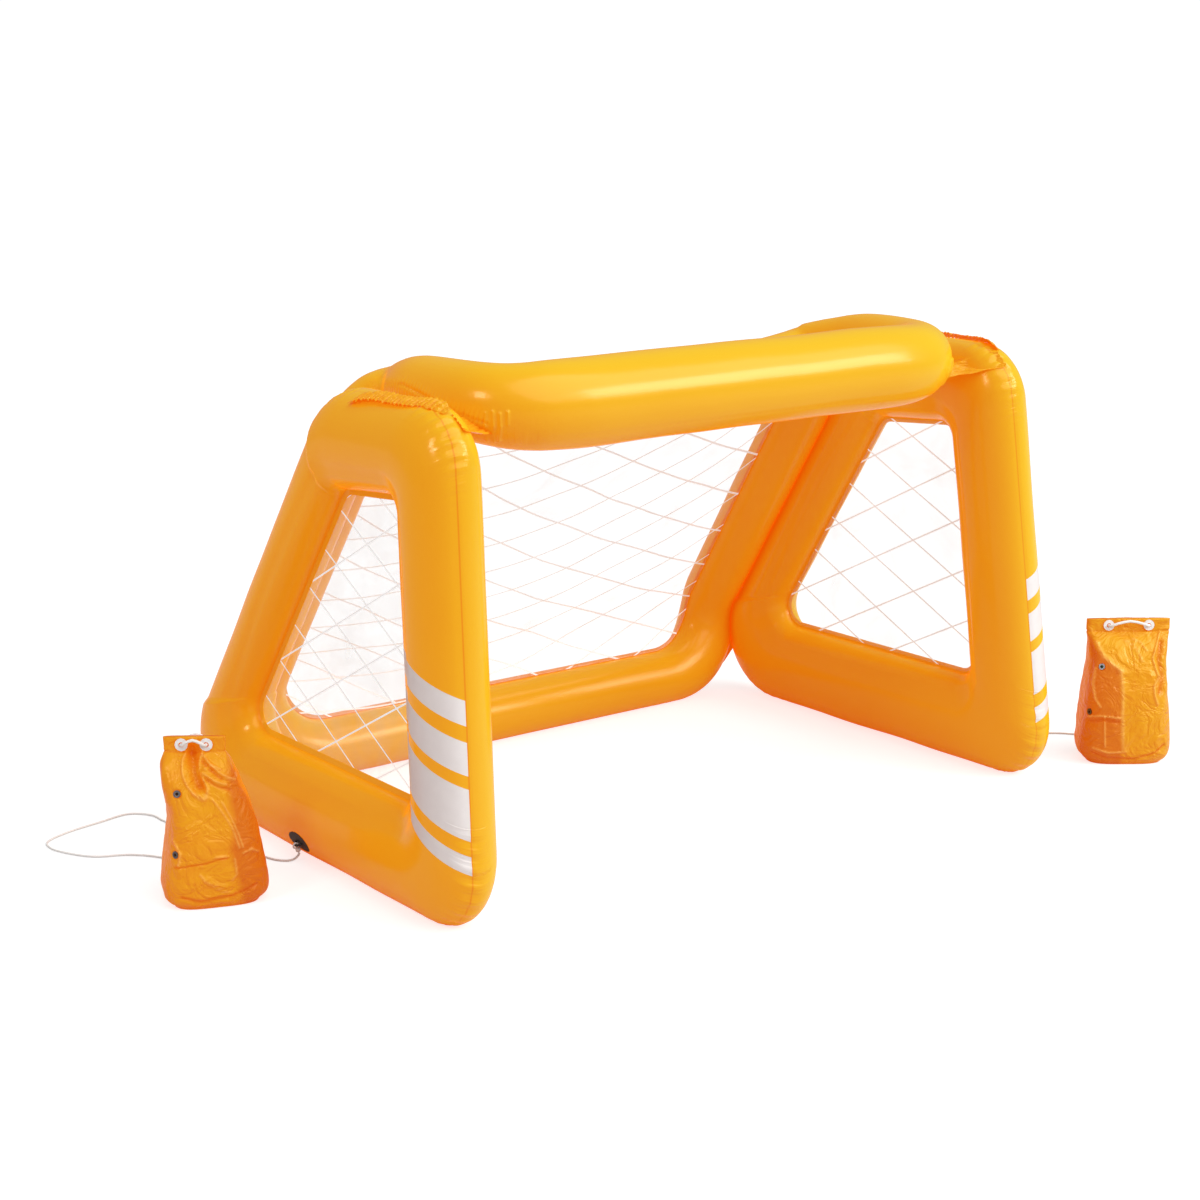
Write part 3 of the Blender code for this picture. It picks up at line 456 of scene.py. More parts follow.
def pucker(piece, marks, total, waves, drift, depth, reach):
    """Presses the seam in, and gathers the sheet beside it in short folds where the seam bends."""
    points = mesh_points(piece.data)
    normals = mesh_points(piece.data, "normal")
    flat = marks.reshape(-1, 4)
    beside = np.abs(flat[:, 0])
    groove = seam_groove_depth * np.exp(-((beside / seam_groove_width) ** 2))
    gathered = np.clip(flat[:, 3] / 7 - 0.12, 0, 1)
    folds = depth * gathered * ripple(flat[:, 1], total, waves, drift) * np.exp(-((beside / reach) ** 2))
    swell = [noise.noise(Vector(point) * 7 + Vector((drift, 0, 0))) for point in points]
    swell = np.array(swell) * chamber_swell
    keep = (flat[:, 2] > 0.004) & (points[:, 2] > 0.0005)
    points += normals * ((swell - groove - folds) * keep)[:, None]
    points[:, 2] = np.maximum(points[:, 2], 0)
    set_points(piece.data, points)


def gloss_and_painted_glow(shader):
    """The gloss of orange vinyl, and a painted red-orange glow: the sheet emits light of its own, which
    stands in for light that comes through the sheet.
    """
    shader.inputs["Specular IOR Level"].default_value = 0.5
    shader.inputs["Specular Tint"].default_value = (1.0, 0.62, 0.30, 1)
    shader.inputs["Coat Roughness"].default_value = 0.12
    shader.inputs["Emission Color"].default_value = (1.0, 0.10, 0.0, 1)
    shader.inputs["Emission Strength"].default_value = painted_sheet_glow


def vinyl_finish(name, stripes=None):
    """Glossy yellow vinyl with painted shade in dark red along the seam, beside the window weld and in the
    crevices between tubes, a painted lighter rim where the surface turns from view, and white printed stripes
    where a piece has them.
    """
    material, tree, shader = finish(name, 0.24, 0.10)
    gloss_and_painted_glow(shader)
    sheet = node(tree, "ShaderNodeAttribute", attribute_name="sheet_place")
    parts = node(tree, "ShaderNodeSeparateXYZ")
    tree.links.new(sheet.outputs["Vector"], parts.inputs[0])
    from_seam, along, from_weld = parts.outputs
    beside = sums(tree, "ABSOLUTE", from_seam)
    cloud = grain(tree, 4, 2)
    colour = blended(tree, cloud, (0.26, 0.290, 0.010), (0.28, 0.320, 0.012))
    # Painted shade: darker red along the seam's groove, and on the tube within 10 mm of the window weld.
    seam = sums(tree, "SUBTRACT", 1.0, sums(tree, "DIVIDE", beside, seam_groove_width), clamp=True)
    weld = sums(tree, "SUBTRACT", 1.0, sums(tree, "DIVIDE", from_weld, 0.010), clamp=True)
    on_tube = sums(tree, "GREATER_THAN", from_weld, 0.0005)
    weld = sums(tree, "MULTIPLY", sums(tree, "MULTIPLY", weld, on_tube), 0.30)
    colour = blended(tree, sums(tree, "MULTIPLY", seam, 0.6), colour, (0.20, 0.06, 0.004))
    colour = blended(tree, weld, colour, (0.26, 0.13, 0.006))
    # Painted rim light: lighter yellow where the surface turns away from view.
    painted_rim_light = node(tree, "ShaderNodeLayerWeight", Blend=0.50).outputs["Facing"]
    painted_rim_light = sums(tree, "POWER", painted_rim_light, 1.4)
    colour = blended(tree, painted_rim_light, colour, (0.30, 0.50, 0.014))
    # Painted shade: darker red in the crevices between the tubes and near the floor.
    painted_crevice_shade = node(tree, "ShaderNodeAttribute", attribute_name="painted_crevice_shade").outputs["Fac"]
    colour = blended(tree, sums(tree, "MULTIPLY", painted_crevice_shade, 0.75), colour, (0.16, 0.025, 0.002))
    if stripes:
        heights, slope, shift = stripes
        spot = node(tree, "ShaderNodeSeparateXYZ")
        tree.links.new(node(tree, "ShaderNodeTexCoord").outputs["Object"], spot.inputs[0])
        height = sums(tree, "SUBTRACT", spot.outputs[2], sums(tree, "MULTIPLY", from_seam, slope))
        printed = None
        for low, high in heights:
            band = sums(tree, "COMPARE", height, (low + high) / 2 + shift, (high - low) / 2)
            printed = band if printed is None else sums(tree, "ADD", printed, band)
        limits = (
            sums(tree, "LESS_THAN", spot.outputs[1], -0.20),
            sums(tree, "GREATER_THAN", from_seam, 0.0008),
            sums(tree, "GREATER_THAN", from_weld, 0.012),
        )
        for limit in limits:
            printed = sums(tree, "MULTIPLY", printed, limit)
        ink = blended(tree, grain(tree, 60, 2), (0.62, 0.64, 0.64), (0.68, 0.70, 0.70))
        colour = blended(tree, printed, colour, ink)
        # Less of the painted glow where the stripes are printed.
        glow = sums(tree, "MULTIPLY_ADD", printed, -print_dimming, painted_sheet_glow)
        tree.links.new(glow, shader.inputs["Emission Strength"])
        rough = sums(tree, "MULTIPLY_ADD", printed, 0.18, 0.20)
        tree.links.new(rough, shader.inputs["Roughness"])
    tree.links.new(colour, shader.inputs["Base Color"])
    lines = node(tree, "ShaderNodeCombineXYZ")
    tree.links.new(sums(tree, "MULTIPLY", along, 95.0), lines.inputs[0])
    tree.links.new(sums(tree, "MULTIPLY", from_seam, 9.0), lines.inputs[1])
    folds = grain(tree, 1.0, 3, 0.4, lines.outputs[0])
    near = sums(tree, "SUBTRACT", 1.0, sums(tree, "DIVIDE", beside, 0.045), clamp=True)
    bend = node(tree, "ShaderNodeAttribute", attribute_name="seam_bend").outputs["Fac"]
    near = sums(tree, "MULTIPLY", near, sums(tree, "MULTIPLY_ADD", bend, 0.12, 0.10, clamp=True))
    soft = sums(tree, "MULTIPLY", grain(tree, 14, 2), 0.25)
    height = sums(tree, "ADD", sums(tree, "MULTIPLY", folds, near), soft)
    add_bump(tree, shader, height, 0.006, 0.5)
    return material


weld_corners = grown_corners(window_corners, [flange_width] * 4)
outer_corners = grown_corners(window_corners, [
    flange_width + 2 * bottom_half_width + floor_press,
    flange_width + 2 * slope_half_width,
    flange_width + 2 * top_half_width,
    flange_width + 2 * post_half_width,
])
frame_top_z = window_corners[2].y + flange_width + 2 * top_half_width
outer_corners[2] = at_height(outer_corners[1], outer_corners[2], frame_top_z)
outer_corners[3] = at_height(outer_corners[0], outer_corners[3], frame_top_z)


def side_outlines(arc_steps, side_steps):
    return [
        rounded_outline(outer_corners, frame_outer_radii, arc_steps, side_steps),
        rounded_outline(weld_corners, [window_radius + flange_width] * 4, arc_steps, side_steps),
        rounded_outline(window_corners, [window_radius] * 4, arc_steps, side_steps),
    ]


def frame_place(side):
    """Puts a point of the side frame's plane, and its distance out of it, in the world."""
    return lambda point, off: (side * (frame_base_x - frame_lean * point[1] + off), point[0], point[1])


valve_pocket_radius = 0.0163
valve_pocket_depth = 0.0215
valve_pocket_above = 0.02
valve_pocket_facets = 48


def cut_valve_pocket(piece, prefix, place):
    """Opens the skin round a valve's welded base."""
    angles = [2 * math.pi * step / valve_pocket_facets for step in range(valve_pocket_facets)]
    rings = []
    for height in (-valve_pocket_depth, valve_pocket_above):
        rings.append([
            place @ Vector((valve_pocket_radius * math.cos(a), valve_pocket_radius * math.sin(a), height))
            for a in angles
        ])
    cutter = grid_mesh(prefix + "_pocket", rings)
    opening = piece.modifiers.new("valve_pocket", "BOOLEAN")
    opening.object = cutter
    opening.solver = "EXACT"
    bpy.context.view_layer.objects.active = piece
    bpy.ops.object.modifier_apply(modifier=opening.name)
    bpy.data.objects.remove(cutter, do_unlink=True)


def axes_to(origin, up):
    """The placing of a piece whose own +Z points along up."""
    return Matrix.Translation(origin) @ Vector(up).to_track_quat("Z", "Y").to_matrix().to_4x4()


stripe_heights = [(0.338, 0.3775), (0.2605, 0.3127), (0.158, 0.2398), (0.1045, 0.1338)]
stripe_slope = 0.44
stripe_shifts = {-1: 0, 1: 0.012}
side_valve_place = (0.69617, 0.315, 0.085)
side_pieces = {}
for side, prefix in ((-1, "left"), (1, "right")):
    rings, marks, total = chamber_rings(
        side_outlines(64, 110), frame_half_thickness, frame_place(side), seam_shift[side], shoulder_depth, 22
    )
    piece = grid_mesh(prefix + "_frame_skin", rings, closed_rows=True)
    add_marks(piece, marks)
    pucker(piece, marks, total, 118, side * 1.7, 0.0026, 0.017)
    stripes = (stripe_heights, stripe_slope, stripe_shifts[side])
    piece.data.materials.append(vinyl_finish(prefix + "_frame_vinyl", stripes))
    valve_x, valve_y, valve_z = side_valve_place
    cut_valve_pocket(piece, prefix, axes_to((side * valve_x, valve_y, valve_z), (side, 0, 0)))
    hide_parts(prefix + "_side_frame")
    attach(piece, "goal")
    side_pieces[side] = piece


# Rear frame with the crossbar: one air chamber of the same vinyl behind the side frames' slopes.
# It bends forward above its bar. Its top is slit between two welds, so that the front band swings
# forward and makes the crossbar.
rear_bar_radius = 0.056
rear_post_radius = 0.058
rear_top_radius = 0.055
rear_top_height = 0.792
rear_lower_outer_radius = 0.160
rear_upper_outer_radius = 0.150
rear_lower_inner_radius = 0.090
rear_upper_inner_radius = 0.060
rear_top_sag = 0.055
rear_flange_width = 0.008
rear_behind = 0.075
rear_bar_lean = math.radians(8)
rear_bend_start = 0.080
rear_bend_length = 0.110
post_press = 0.002
crossbar_y = -0.283
crossbar_rise = 0.003
crossbar_radius = 0.073
horn_rise = 0.012
crossbar_spacing = 0.008
rear_valve_place = (-0.25, 0.49246, 0.07208)
rear_valve_way = (0, 0.93969, 0.34202)

centres_apart = math.sqrt((slope_half_width + rear_post_radius - post_press) ** 2 - rear_behind**2)
slope_along = (window_corners[2] - window_corners[1]).normalized()
slope_out = Vector((slope_along.y, -slope_along.x))
slope_lean = math.atan2(-slope_along.x, slope_along.y)
slope_centre = window_corners[1] + slope_out * (flange_width + slope_half_width + rear_behind)
rear_bend_end = rear_bend_start + rear_bend_length
rear_bend_rate = (slope_lean + rear_bar_lean) / rear_bend_length
rear_bar_z = rear_bar_radius * math.cos(math.pi / 16) - floor_press


def rear_line(s):
    """How far the middle of the bent sheet is behind and above the bar's middle, and how far it leans."""
    upright = min(s, rear_bend_start)
    bent = min(max(s - rear_bend_start, 0), rear_bend_length)
    leaning = max(s - rear_bend_end, 0)
    lean = rear_bend_rate * bent - rear_bar_lean
    back = (math.cos(lean) - math.cos(rear_bar_lean)) / rear_bend_rate
    rise = (math.sin(lean) + math.sin(rear_bar_lean)) / rear_bend_rate
    back += math.sin(rear_bar_lean) * upright - math.sin(slope_lean) * leaning
    rise += math.cos(rear_bar_lean) * upright + math.cos(slope_lean) * leaning
    return Vector((back, rise)), lean


rear_bend_top = rear_line(rear_bend_end)[0]
slope_at_bend = slope_centre + slope_along * (rear_bar_z + rear_bend_top.y - slope_centre.y) / slope_along.y
rear_origin = Vector((slope_at_bend.x - rear_bend_top.x, rear_bar_z))
rear_top_s = rear_bend_end + (rear_top_height - slope_at_bend.y) / math.cos(slope_lean)


def rear_post_x(s):
    return frame_base_x - frame_lean * (rear_origin.y + rear_line(s)[0].y) - centres_apart


def rear_place(point, off):
    """Puts a point of the rear frame's sheet, and its distance out of it to the back, in the world."""
    x, s = point
    middle, lean = rear_line(s)
    shear = 1 - frame_lean * math.sin(lean) * off / rear_post_x(s)
    rise = min(max(s / rear_top_s, 0), 1)
    sag = rear_top_sag * rise**6 * max(0, 1 - (x / rear_post_x(s)) ** 2)
    flat = rear_origin + middle + Vector((math.cos(lean), math.sin(lean))) * off
    return (x * shear, flat.x, flat.y - sag)


def rear_corners(inset):
    low = -rear_bar_radius * inset
    high = rear_top_s + rear_top_radius * inset
    low_x = rear_post_x(low) + rear_post_radius * inset
    high_x = rear_post_x(high) + rear_post_radius * inset
    return [Vector((-low_x, low)), Vector((low_x, low)), Vector((high_x, high)), Vector((-high_x, high))]


rear_window_corners = grown_corners(rear_corners(-1), [-rear_flange_width] * 4)
rear_weld_radii = [rear_lower_inner_radius] * 2 + [rear_upper_inner_radius] * 2
rear_window_radii = [radius - rear_flange_width for radius in rear_weld_radii]
rear_outer_radii = [rear_lower_outer_radius] * 2 + [rear_upper_outer_radius] * 2
rear_outlines = [
    rounded_outline(rear_corners(1), rear_outer_radii, 30, 60),
    rounded_outline(rear_corners(-1), rear_weld_radii, 30, 60),
    rounded_outline(rear_window_corners, rear_window_radii, 30, 60),
]
rear_top_y = (rear_origin + rear_line(rear_top_s)[0]).x


def horn_stop(x, forward, radius):
    """A stop of the horn's middle line, at a share of the way forward from the rear top tube."""
    y = rear_top_y + (crossbar_y - rear_top_y) * forward
    z = rear_top_height + crossbar_rise * forward + horn_rise * math.sin(math.pi * forward)
    return (x, y, z, radius)


half_crossbar = [
    horn_stop(0.450, 0, 0.046),
    horn_stop(0.474, 0.18, 0.053),
    horn_stop(0.490, 0.41, 0.060),
    horn_stop(0.478, 0.79, 0.064),
    horn_stop(0.437, 0.95, 0.069),
    horn_stop(0.360, 1, crossbar_radius),
    horn_stop(0.180, 1, crossbar_radius),
]


def join_to(piece, other):
    """Makes two closed meshes one by welding them in a fine grid, and smooths the join."""
    work = bmesh.new()
    work.from_mesh(piece.data)
    work.from_mesh(other.data)
    work.to_mesh(piece.data)
    work.free()
    bpy.data.objects.remove(other, do_unlink=True)
    grid = piece.modifiers.new("grid", "REMESH")
    grid.mode = "VOXEL"
    grid.voxel_size = 0.0052
    ease = piece.modifiers.new("ease", "SMOOTH")
    ease.factor = 0.5
    ease.iterations = 6
    bpy.context.view_layer.objects.active = piece
    for name in ("grid", "ease"):
        bpy.ops.object.modifier_apply(modifier=name)
    piece.data.shade_smooth()


def pushed_out_of(points, solid, clearance, reach):
    """Moves the points that lie in another piece to its skin, as soft sheet is pressed flat against it."""
    tree = BVHTree.FromObject(solid, bpy.context.evaluated_depsgraph_get())
    moved = points.copy()
    for index, point in enumerate(points):
        near, normal = tree.find_nearest(Vector(point), reach)[:2]
        if near is None:
            continue
        inside = (Vector(point) - near).dot(normal)
        if inside < clearance:
            moved[index] = near + normal * clearance
    return moved


rear_rings, rear_marks, rear_total = chamber_rings(rear_outlines, rear_bar_radius, rear_place, 0, 0, 16)
rear_skin = grid_mesh("rear_frame_skin", rear_rings[:, 2:-2], closed_rows=True)
other_half = [(-x, y, z, radius) for x, y, z, radius in reversed(half_crossbar)]
path = evenly(smooth_path(half_crossbar + other_half, 8), crossbar_spacing)[0]
sides, ups = sections(path[:, :3])
turns = np.linspace(0, 2 * math.pi, 48, endpoint=False)
bar_rings = path[:, None, :3] + path[:, None, 3:] * (
    sides[:, None] * np.cos(turns)[None, :, None] + ups[:, None] * np.sin(turns)[None, :, None]
)
join_to(rear_skin, grid_mesh("crossbar_skin", bar_rings))
# Finer mesh where the sheet is gathered: the horns and the crossbar's ends
work = bmesh.new()
work.from_mesh(rear_skin.data)
gathered_edges = [
    edge for edge in work.edges
    if all(abs(corner.co.x) > 0.43 and corner.co.y < 0.0 and corner.co.z > 0.70 for corner in edge.verts)
]
bmesh.ops.subdivide_edges(work, edges=gathered_edges, cuts=2, use_grid_fill=True)
work.to_mesh(rear_skin.data)
work.free()
rear_skin.data.shade_smooth()
points = mesh_points(rear_skin.data)
for side in (-1, 1):
    near_side = points[:, 0] * side > 0.42
    points[near_side] = pushed_out_of(points[near_side], side_pieces[side], 0.0004, 0.05)
points[:, 2] = np.maximum(points[:, 2], 0)
set_points(rear_skin.data, points)


def nearness(points, solid, reach):
    """How near each point is to another piece: 1 where they touch, 0 from reach away."""
    tree = BVHTree.FromObject(solid, bpy.context.evaluated_depsgraph_get())
    near = np.zeros(len(points))
    for index, point in enumerate(points):
        distance = tree.find_nearest(Vector(point), reach)[3]
        if distance is not None:
            near[index] = 1 - distance / reach
    return near


def in_shade(points, near):
    """Painted shade for the crevices that little light reaches: deep down near the floor and between the
    tubes.
    """
    return np.clip(near * 1.15, 0, 1) ** 1.6 * np.clip(1.15 - points[:, 2] * 0.9, 0.35, 1)


# Painted shade where the side frames and the rear frame touch, stronger near the floor.
painted_crevice_shade = np.zeros(len(points))
for side in (-1, 1):
    side_points = mesh_points(side_pieces[side].data)
    inner = side_points[:, 0] * side < 0.66
    near = np.zeros(len(side_points))
    near[inner] = nearness(side_points[inner], rear_skin, 0.022)
    keep_value(side_pieces[side], "painted_crevice_shade", in_shade(side_points, near))
    near_side = points[:, 0] * side > 0.45
    painted_crevice_shade[near_side] = in_shade(points[near_side], nearness(points[near_side], side_pieces[side], 0.022))
keep_value(rear_skin, "painted_crevice_shade", painted_crevice_shade)


def search_tree(points):
    tree = KDTree(len(points))
    for index, point in enumerate(points):
        tree.insert(point, index)
    tree.balance()
    return tree


# The seam runs round the outside of the ring, and along the lower front of the crossbar
seam_column = int(np.argmin(np.abs(rear_marks[0, :, 0])))
bar_seam = path[:, :3] + path[:, 3:] * np.array([0, -0.80, -0.60])
seam_tree = search_tree(rear_rings[:, seam_column])
weld_tree = search_tree((rear_rings[:, 1] + rear_rings[:, -2]) / 2)
bar_tree = search_tree(bar_seam)
rear_flat = []
for point in points:
    _, index, distance = seam_tree.find(point)
    _, _, to_weld = weld_tree.find(point)
    _, bar_index, to_bar = bar_tree.find(point)
    along_seam, bend = rear_marks[index, 0, 1], rear_marks[index, 0, 3]
    if to_bar < distance:
        distance, along_seam = to_bar, rear_total + bar_index * crossbar_spacing
        bend = 7 * max(0, (abs(bar_seam[bar_index, 0]) - 0.40) / 0.08)
    rear_flat.append((distance, along_seam, to_weld, bend))
rear_flat = np.array(rear_flat)
add_marks(rear_skin, rear_flat)
pucker(rear_skin, rear_flat, rear_total, 110, 0.6, 0.0022, 0.016)

# Pleats at each end of the crossbar, and short puckers along the seam between each horn and the side frame
end_pleats = [
    [(0.5108, -0.2882, 0.7957), (0.5092, -0.2853, 0.7763), (0.4965, -0.2683, 0.7492)],
    [(0.5041, -0.2978, 0.7978), (0.5016, -0.2963, 0.7769), (0.4898, -0.2780, 0.7481)],
    [(0.4965, -0.3059, 0.7949), (0.4938, -0.3040, 0.7755), (0.4874, -0.2885, 0.7508)],
    [(0.4871, -0.3142, 0.7980), (0.4850, -0.3110, 0.7790)],
    [(0.4780, -0.3220, 0.7700), (0.4740, -0.3160, 0.7520)],
]
horn_seam = [
    (0.5323, -0.0247, 0.8131), (0.5461, -0.1059, 0.8231), (0.5475, -0.1557, 0.8158),
    (0.5442, -0.1999, 0.8061), (0.5286, -0.2557, 0.7905), (0.5108, -0.2882, 0.7800),
]
pleat_height = 0.0036
pleat_width = 0.0024
pucker_spacing = 0.0085
pucker_height = 0.0026
pucker_reach = 0.011
horn_groove = 0.0030
points = mesh_points(rear_skin.data)
normals = mesh_points(rear_skin.data, "normal")
ends = (np.abs(points[:, 0]) > 0.43) & (points[:, 1] < 0.02) & (points[:, 2] > 0.70)
mirrored = points[ends]
mirrored[:, 0] = np.abs(mirrored[:, 0])


def from_line(spots, stops):
    """How far each spot is from a line of straight pieces, and how far along the line."""
    nearest = np.full(len(spots), np.inf)
    along_line = np.zeros(len(spots))
    done = 0
    for here, there in zip(np.array(stops), np.array(stops)[1:]):
        way = there - here
        share = np.clip((spots - here) @ way / way.dot(way), 0, 1)
        away = np.linalg.norm(spots - here - share[:, None] * way, axis=1)
        along_line = np.where(away < nearest, done + share * np.linalg.norm(way), along_line)
        nearest = np.minimum(nearest, away)
        done += np.linalg.norm(way)
    return nearest, along_line


rise = np.zeros(len(mirrored))
for line in end_pleats:
    rise += pleat_height * np.exp(-((from_line(mirrored, line)[0] / pleat_width) ** 2))
away, along_line = from_line(mirrored, horn_seam)
waves = np.abs(np.sin(math.pi * along_line / pucker_spacing))
rise += pucker_height * waves * np.exp(-((away / pucker_reach) ** 2))
rise -= horn_groove * np.exp(-((away / horn_groove) ** 2))
points[ends] += normals[ends] * rise[:, None]
set_points(rear_skin.data, points)
rear_skin.data.materials.append(vinyl_finish("rear_frame_vinyl"))
cut_valve_pocket(rear_skin, "rear", axes_to(rear_valve_place, rear_valve_way))
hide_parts("rear_frame_with_crossbar")
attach(rear_skin, "goal")

flange_rings = []
for index in range(len(rear_rings)):
    inner_low, low, high, inner_high = (rear_rings[index, column] for column in (0, 1, -2, -1))
    into = (low - inner_low) * 0.9
    flange_rings.append([inner_low, low + into, high + into, inner_high])
rear_flange = grid_mesh("rear_frame_flange", flange_rings, closed_rows=True)
rear_flange.data.materials.append(vinyl_finish("flange_vinyl"))
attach(rear_flange, "goal")


# Gathered strips: the rear frame's spare sheet is welded to the top of each side frame in a ruffle.
# A creased web of the same sheet ties the crossbar's end to the post's front seam.
def gathered_vinyl(name, roughness, coat, cloud, creases, dark, light):
    """Creased vinyl. The cloud is (scale, twist) and the creases are (scale, twist, depth)."""
    material, tree, shader = finish(name, roughness, coat)
    gloss_and_painted_glow(shader)
    colour = blended(tree, grain(tree, cloud[0], 3, cloud[1]), dark, light)
    tree.links.new(colour, shader.inputs["Base Color"])
    add_bump(tree, shader, grain(tree, creases[0], 3, creases[1]), creases[2], 0.5)
    return material


strip_finish = gathered_vinyl(
    "gathered_strip_vinyl", 0.20, 0.15, (70, 0.6), (160, 1.0, 0.003),
    (0.25, 0.230, 0.008), (0.30, 0.360, 0.012),
)
strip_line = [
    (0.640, -0.098, 0.8035), (0.634, -0.125, 0.8120), (0.628, -0.165, 0.8170), (0.626, -0.205, 0.8165),
    (0.622, -0.245, 0.8170), (0.610, -0.285, 0.8180), (0.602, -0.320, 0.8090),
]
strip_half_width = 0.0135
strip_fold = 0.0100
strip_end_length = 0.02
strip_fold_height = 0.0052
web_corners = [
    (0.596, -0.322, 0.806), (0.592, -0.352, 0.782), (0.500, -0.288, 0.762), (0.534, -0.258, 0.786),
]
web_rows = 60
web_columns = 40


def strip_rings(side, line, half_width, fold):
    """A ruffled strip along a line: the folds run across it and lean over one another."""
    path, along = evenly(smooth_path(line, 12), 0.0011)
    rings = []
    for index, point in enumerate(path):
        from_end = min(along[index], along[-1] - along[index])
        ends = min(1, from_end / strip_end_length)
        drift = noise.noise(Vector((along[index] * 60, side * 3.1, 0)))
        turn = 2 * math.pi * along[index] / fold + 2.6 * drift
        ring = []
        for column in range(13):
            share = column / 6 - 1
            fold_rise = 0.5 + 0.5 * math.sin(turn + 0.9 * share)
            lift = strip_fold_height * ends * fold_rise * (1 - 0.45 * share * share)
            lift += 0.0016 * noise.noise(Vector((along[index] * 220, share * 2.2, side)))
            reach = half_width * (0.55 + 0.45 * ends) * (1 + 0.18 * drift)
            ring.append((
                side * (point[0] - share * reach * 0.80),
                point[1] - share * reach * 0.25 + 0.0015 * math.cos(turn),
                point[2] + share * reach * 0.42 + lift + 0.0012,
            ))
        rings.append(ring)
    return rings


def web_rings(side, corners):
    """A web between two edges, creased along the pull from its narrow end."""
    outer_top, outer_low, inner_low, inner_top = (np.array(corner) for corner in corners)
    rings = []
    for row in range(web_rows + 1):
        share = row / web_rows
        top = outer_top + (inner_top - outer_top) * share
        low = outer_low + (inner_low - outer_low) * share
        ring = []
        for column in range(web_columns + 1):
            down = column / web_columns
            spot = top + (low - top) * down
            crease = noise.noise(Vector((share * 2.0, down * 9.0, side * 2.3)))
            sag = -0.010 * math.sin(math.pi * share) * math.sin(math.pi * down)
            out = 0.0080 * (0.35 - abs(crease)) + sag
            ring.append((side * spot[0], spot[1] - out * 0.75, spot[2] + out * 0.65))
        rings.append(ring)
    return rings


for side, prefix in ((-1, "left"), (1, "right")):
    rings = strip_rings(side, strip_line, strip_half_width, strip_fold)
    strip = grid_mesh(prefix + "_gathered_strip", rings, caps=False, wrap=False)
    web = grid_mesh(prefix + "_crossbar_web", web_rings(side, web_corners), caps=False, wrap=False)
    for piece in (strip, web):
        piece.data.materials.append(strip_finish)
        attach(piece, "goal")
    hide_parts(prefix + "_corner_flap")


# Films: clear vinyl with a white net printed on it, welded to the inner side of each window's flange.
# The film is thin and lies in slack waves, so that the printed lines wander and catch the light.
film_offset = -0.0012
film_overlap = 0.0065
net_line = 0.0026
side_line_widening = 1.5
rear_line_share = 0.0215
painted_ink_glow = 0.26


def film_finish(name):
    material, tree, shader = finish(name, 0.10)
    shader.inputs["IOR"].default_value = 1.30
    net = node(tree, "ShaderNodeAttribute", attribute_name="net_place")
    parts = node(tree, "ShaderNodeSeparateXYZ")
    tree.links.new(net.outputs["Vector"], parts.inputs[0])
    printed = None
    for output in parts.outputs[:2]:
        cycle = sums(tree, "FRACT", sums(tree, "ADD", output, 0.5))
        from_line_middle = sums(tree, "ABSOLUTE", sums(tree, "SUBTRACT", cycle, 0.5))
        line = sums(tree, "LESS_THAN", from_line_middle, parts.outputs[2])
        printed = line if printed is None else sums(tree, "MAXIMUM", printed, line)
    ink = blended(tree, grain(tree, 200, 2), (0.80, 0.80, 0.80), (0.88, 0.88, 0.88))
    # Painted glow: the printed net lines emit white light of their own.
    shader.inputs["Emission Color"].default_value = (1, 1, 1, 1)
    tree.links.new(sums(tree, "MULTIPLY", printed, painted_ink_glow), shader.inputs["Emission Strength"])
    colour = blended(tree, printed, (0.93, 0.95, 0.96), ink)
    tree.links.new(colour, shader.inputs["Base Color"])
    haze = sums(tree, "MULTIPLY_ADD", grain(tree, 6, 2, 1.5), 0.40, -0.02, clamp=True)
    clear = sums(tree, "ADD", sums(tree, "MULTIPLY", printed, 0.80), haze, clamp=True)
    tree.links.new(clear, shader.inputs["Alpha"])
    waves = grain(tree, 9, 3, 1.2)
    add_bump(tree, shader, waves, 0.02, 0.35)
    return material


def film_grid(name, outline_low, outline_high, reach, place, lattice, rows, columns, wave):
    """A film between two heights of its window's plane; reach gives both ends of each row."""
    rings = []
    nets = []
    for row in range(rows + 1):
        s = outline_low + (outline_high - outline_low) * (1 - math.cos(math.pi * row / rows)) / 2
        start, end = reach(s)
        ring = []
        for column in range(columns + 1):
            across_film = start + (end - start) * column / columns
            edge = min(1, 4 * min(column, columns - column, row, rows - row) / rows)
            off = film_offset + wave * edge * noise.noise(Vector((across_film * 5, s * 4, 1.3)))
            ring.append(place((across_film, s), off))
            nets.append(lattice(across_film, s))
        rings.append(ring)
    piece = grid_mesh(name, rings, caps=False, wrap=False)
    keep_places(piece, "net_place", nets)
    return piece


def reach_in(outline, s):
    """Where a level line enters and leaves an outline."""
    crossings = []
    for here, there in zip(outline, np.roll(outline, -1, 0)):
        if (here[1] - s) * (there[1] - s) <= 0 and here[1] != there[1]:
            crossings.append(here[0] + (there[0] - here[0]) * (s - here[1]) / (there[1] - here[1]))
    return min(crossings), max(crossings)


def side_lattice(rising, falling, slope, spacing):
    """Two sets of printed lines in a side window, by the height of one line of each."""
    width = net_line / 2 * math.cos(math.atan(slope)) / spacing * side_line_widening
    return lambda y, z: ((z + slope * y - rising) / spacing, (z - slope * y - falling) / spacing, width)


def rear_lattice(x, s):
    """The rear net's two sets of lines, which fan a little as the slack film hangs."""
    first = 7.199 - 5.680 * x - 11.855 * s + 2.017 * x * x + 0.689 * x * s + 2.283 * s * s
    second = 9.209 + 2.619 * x - 15.096 * s + 5.780 * x * x + 2.301 * x * s + 3.979 * s * s
    sway = 0.05 * noise.noise(Vector((x * 8, s * 8, 4.1)))
    return first + sway, second - sway, rear_line_share


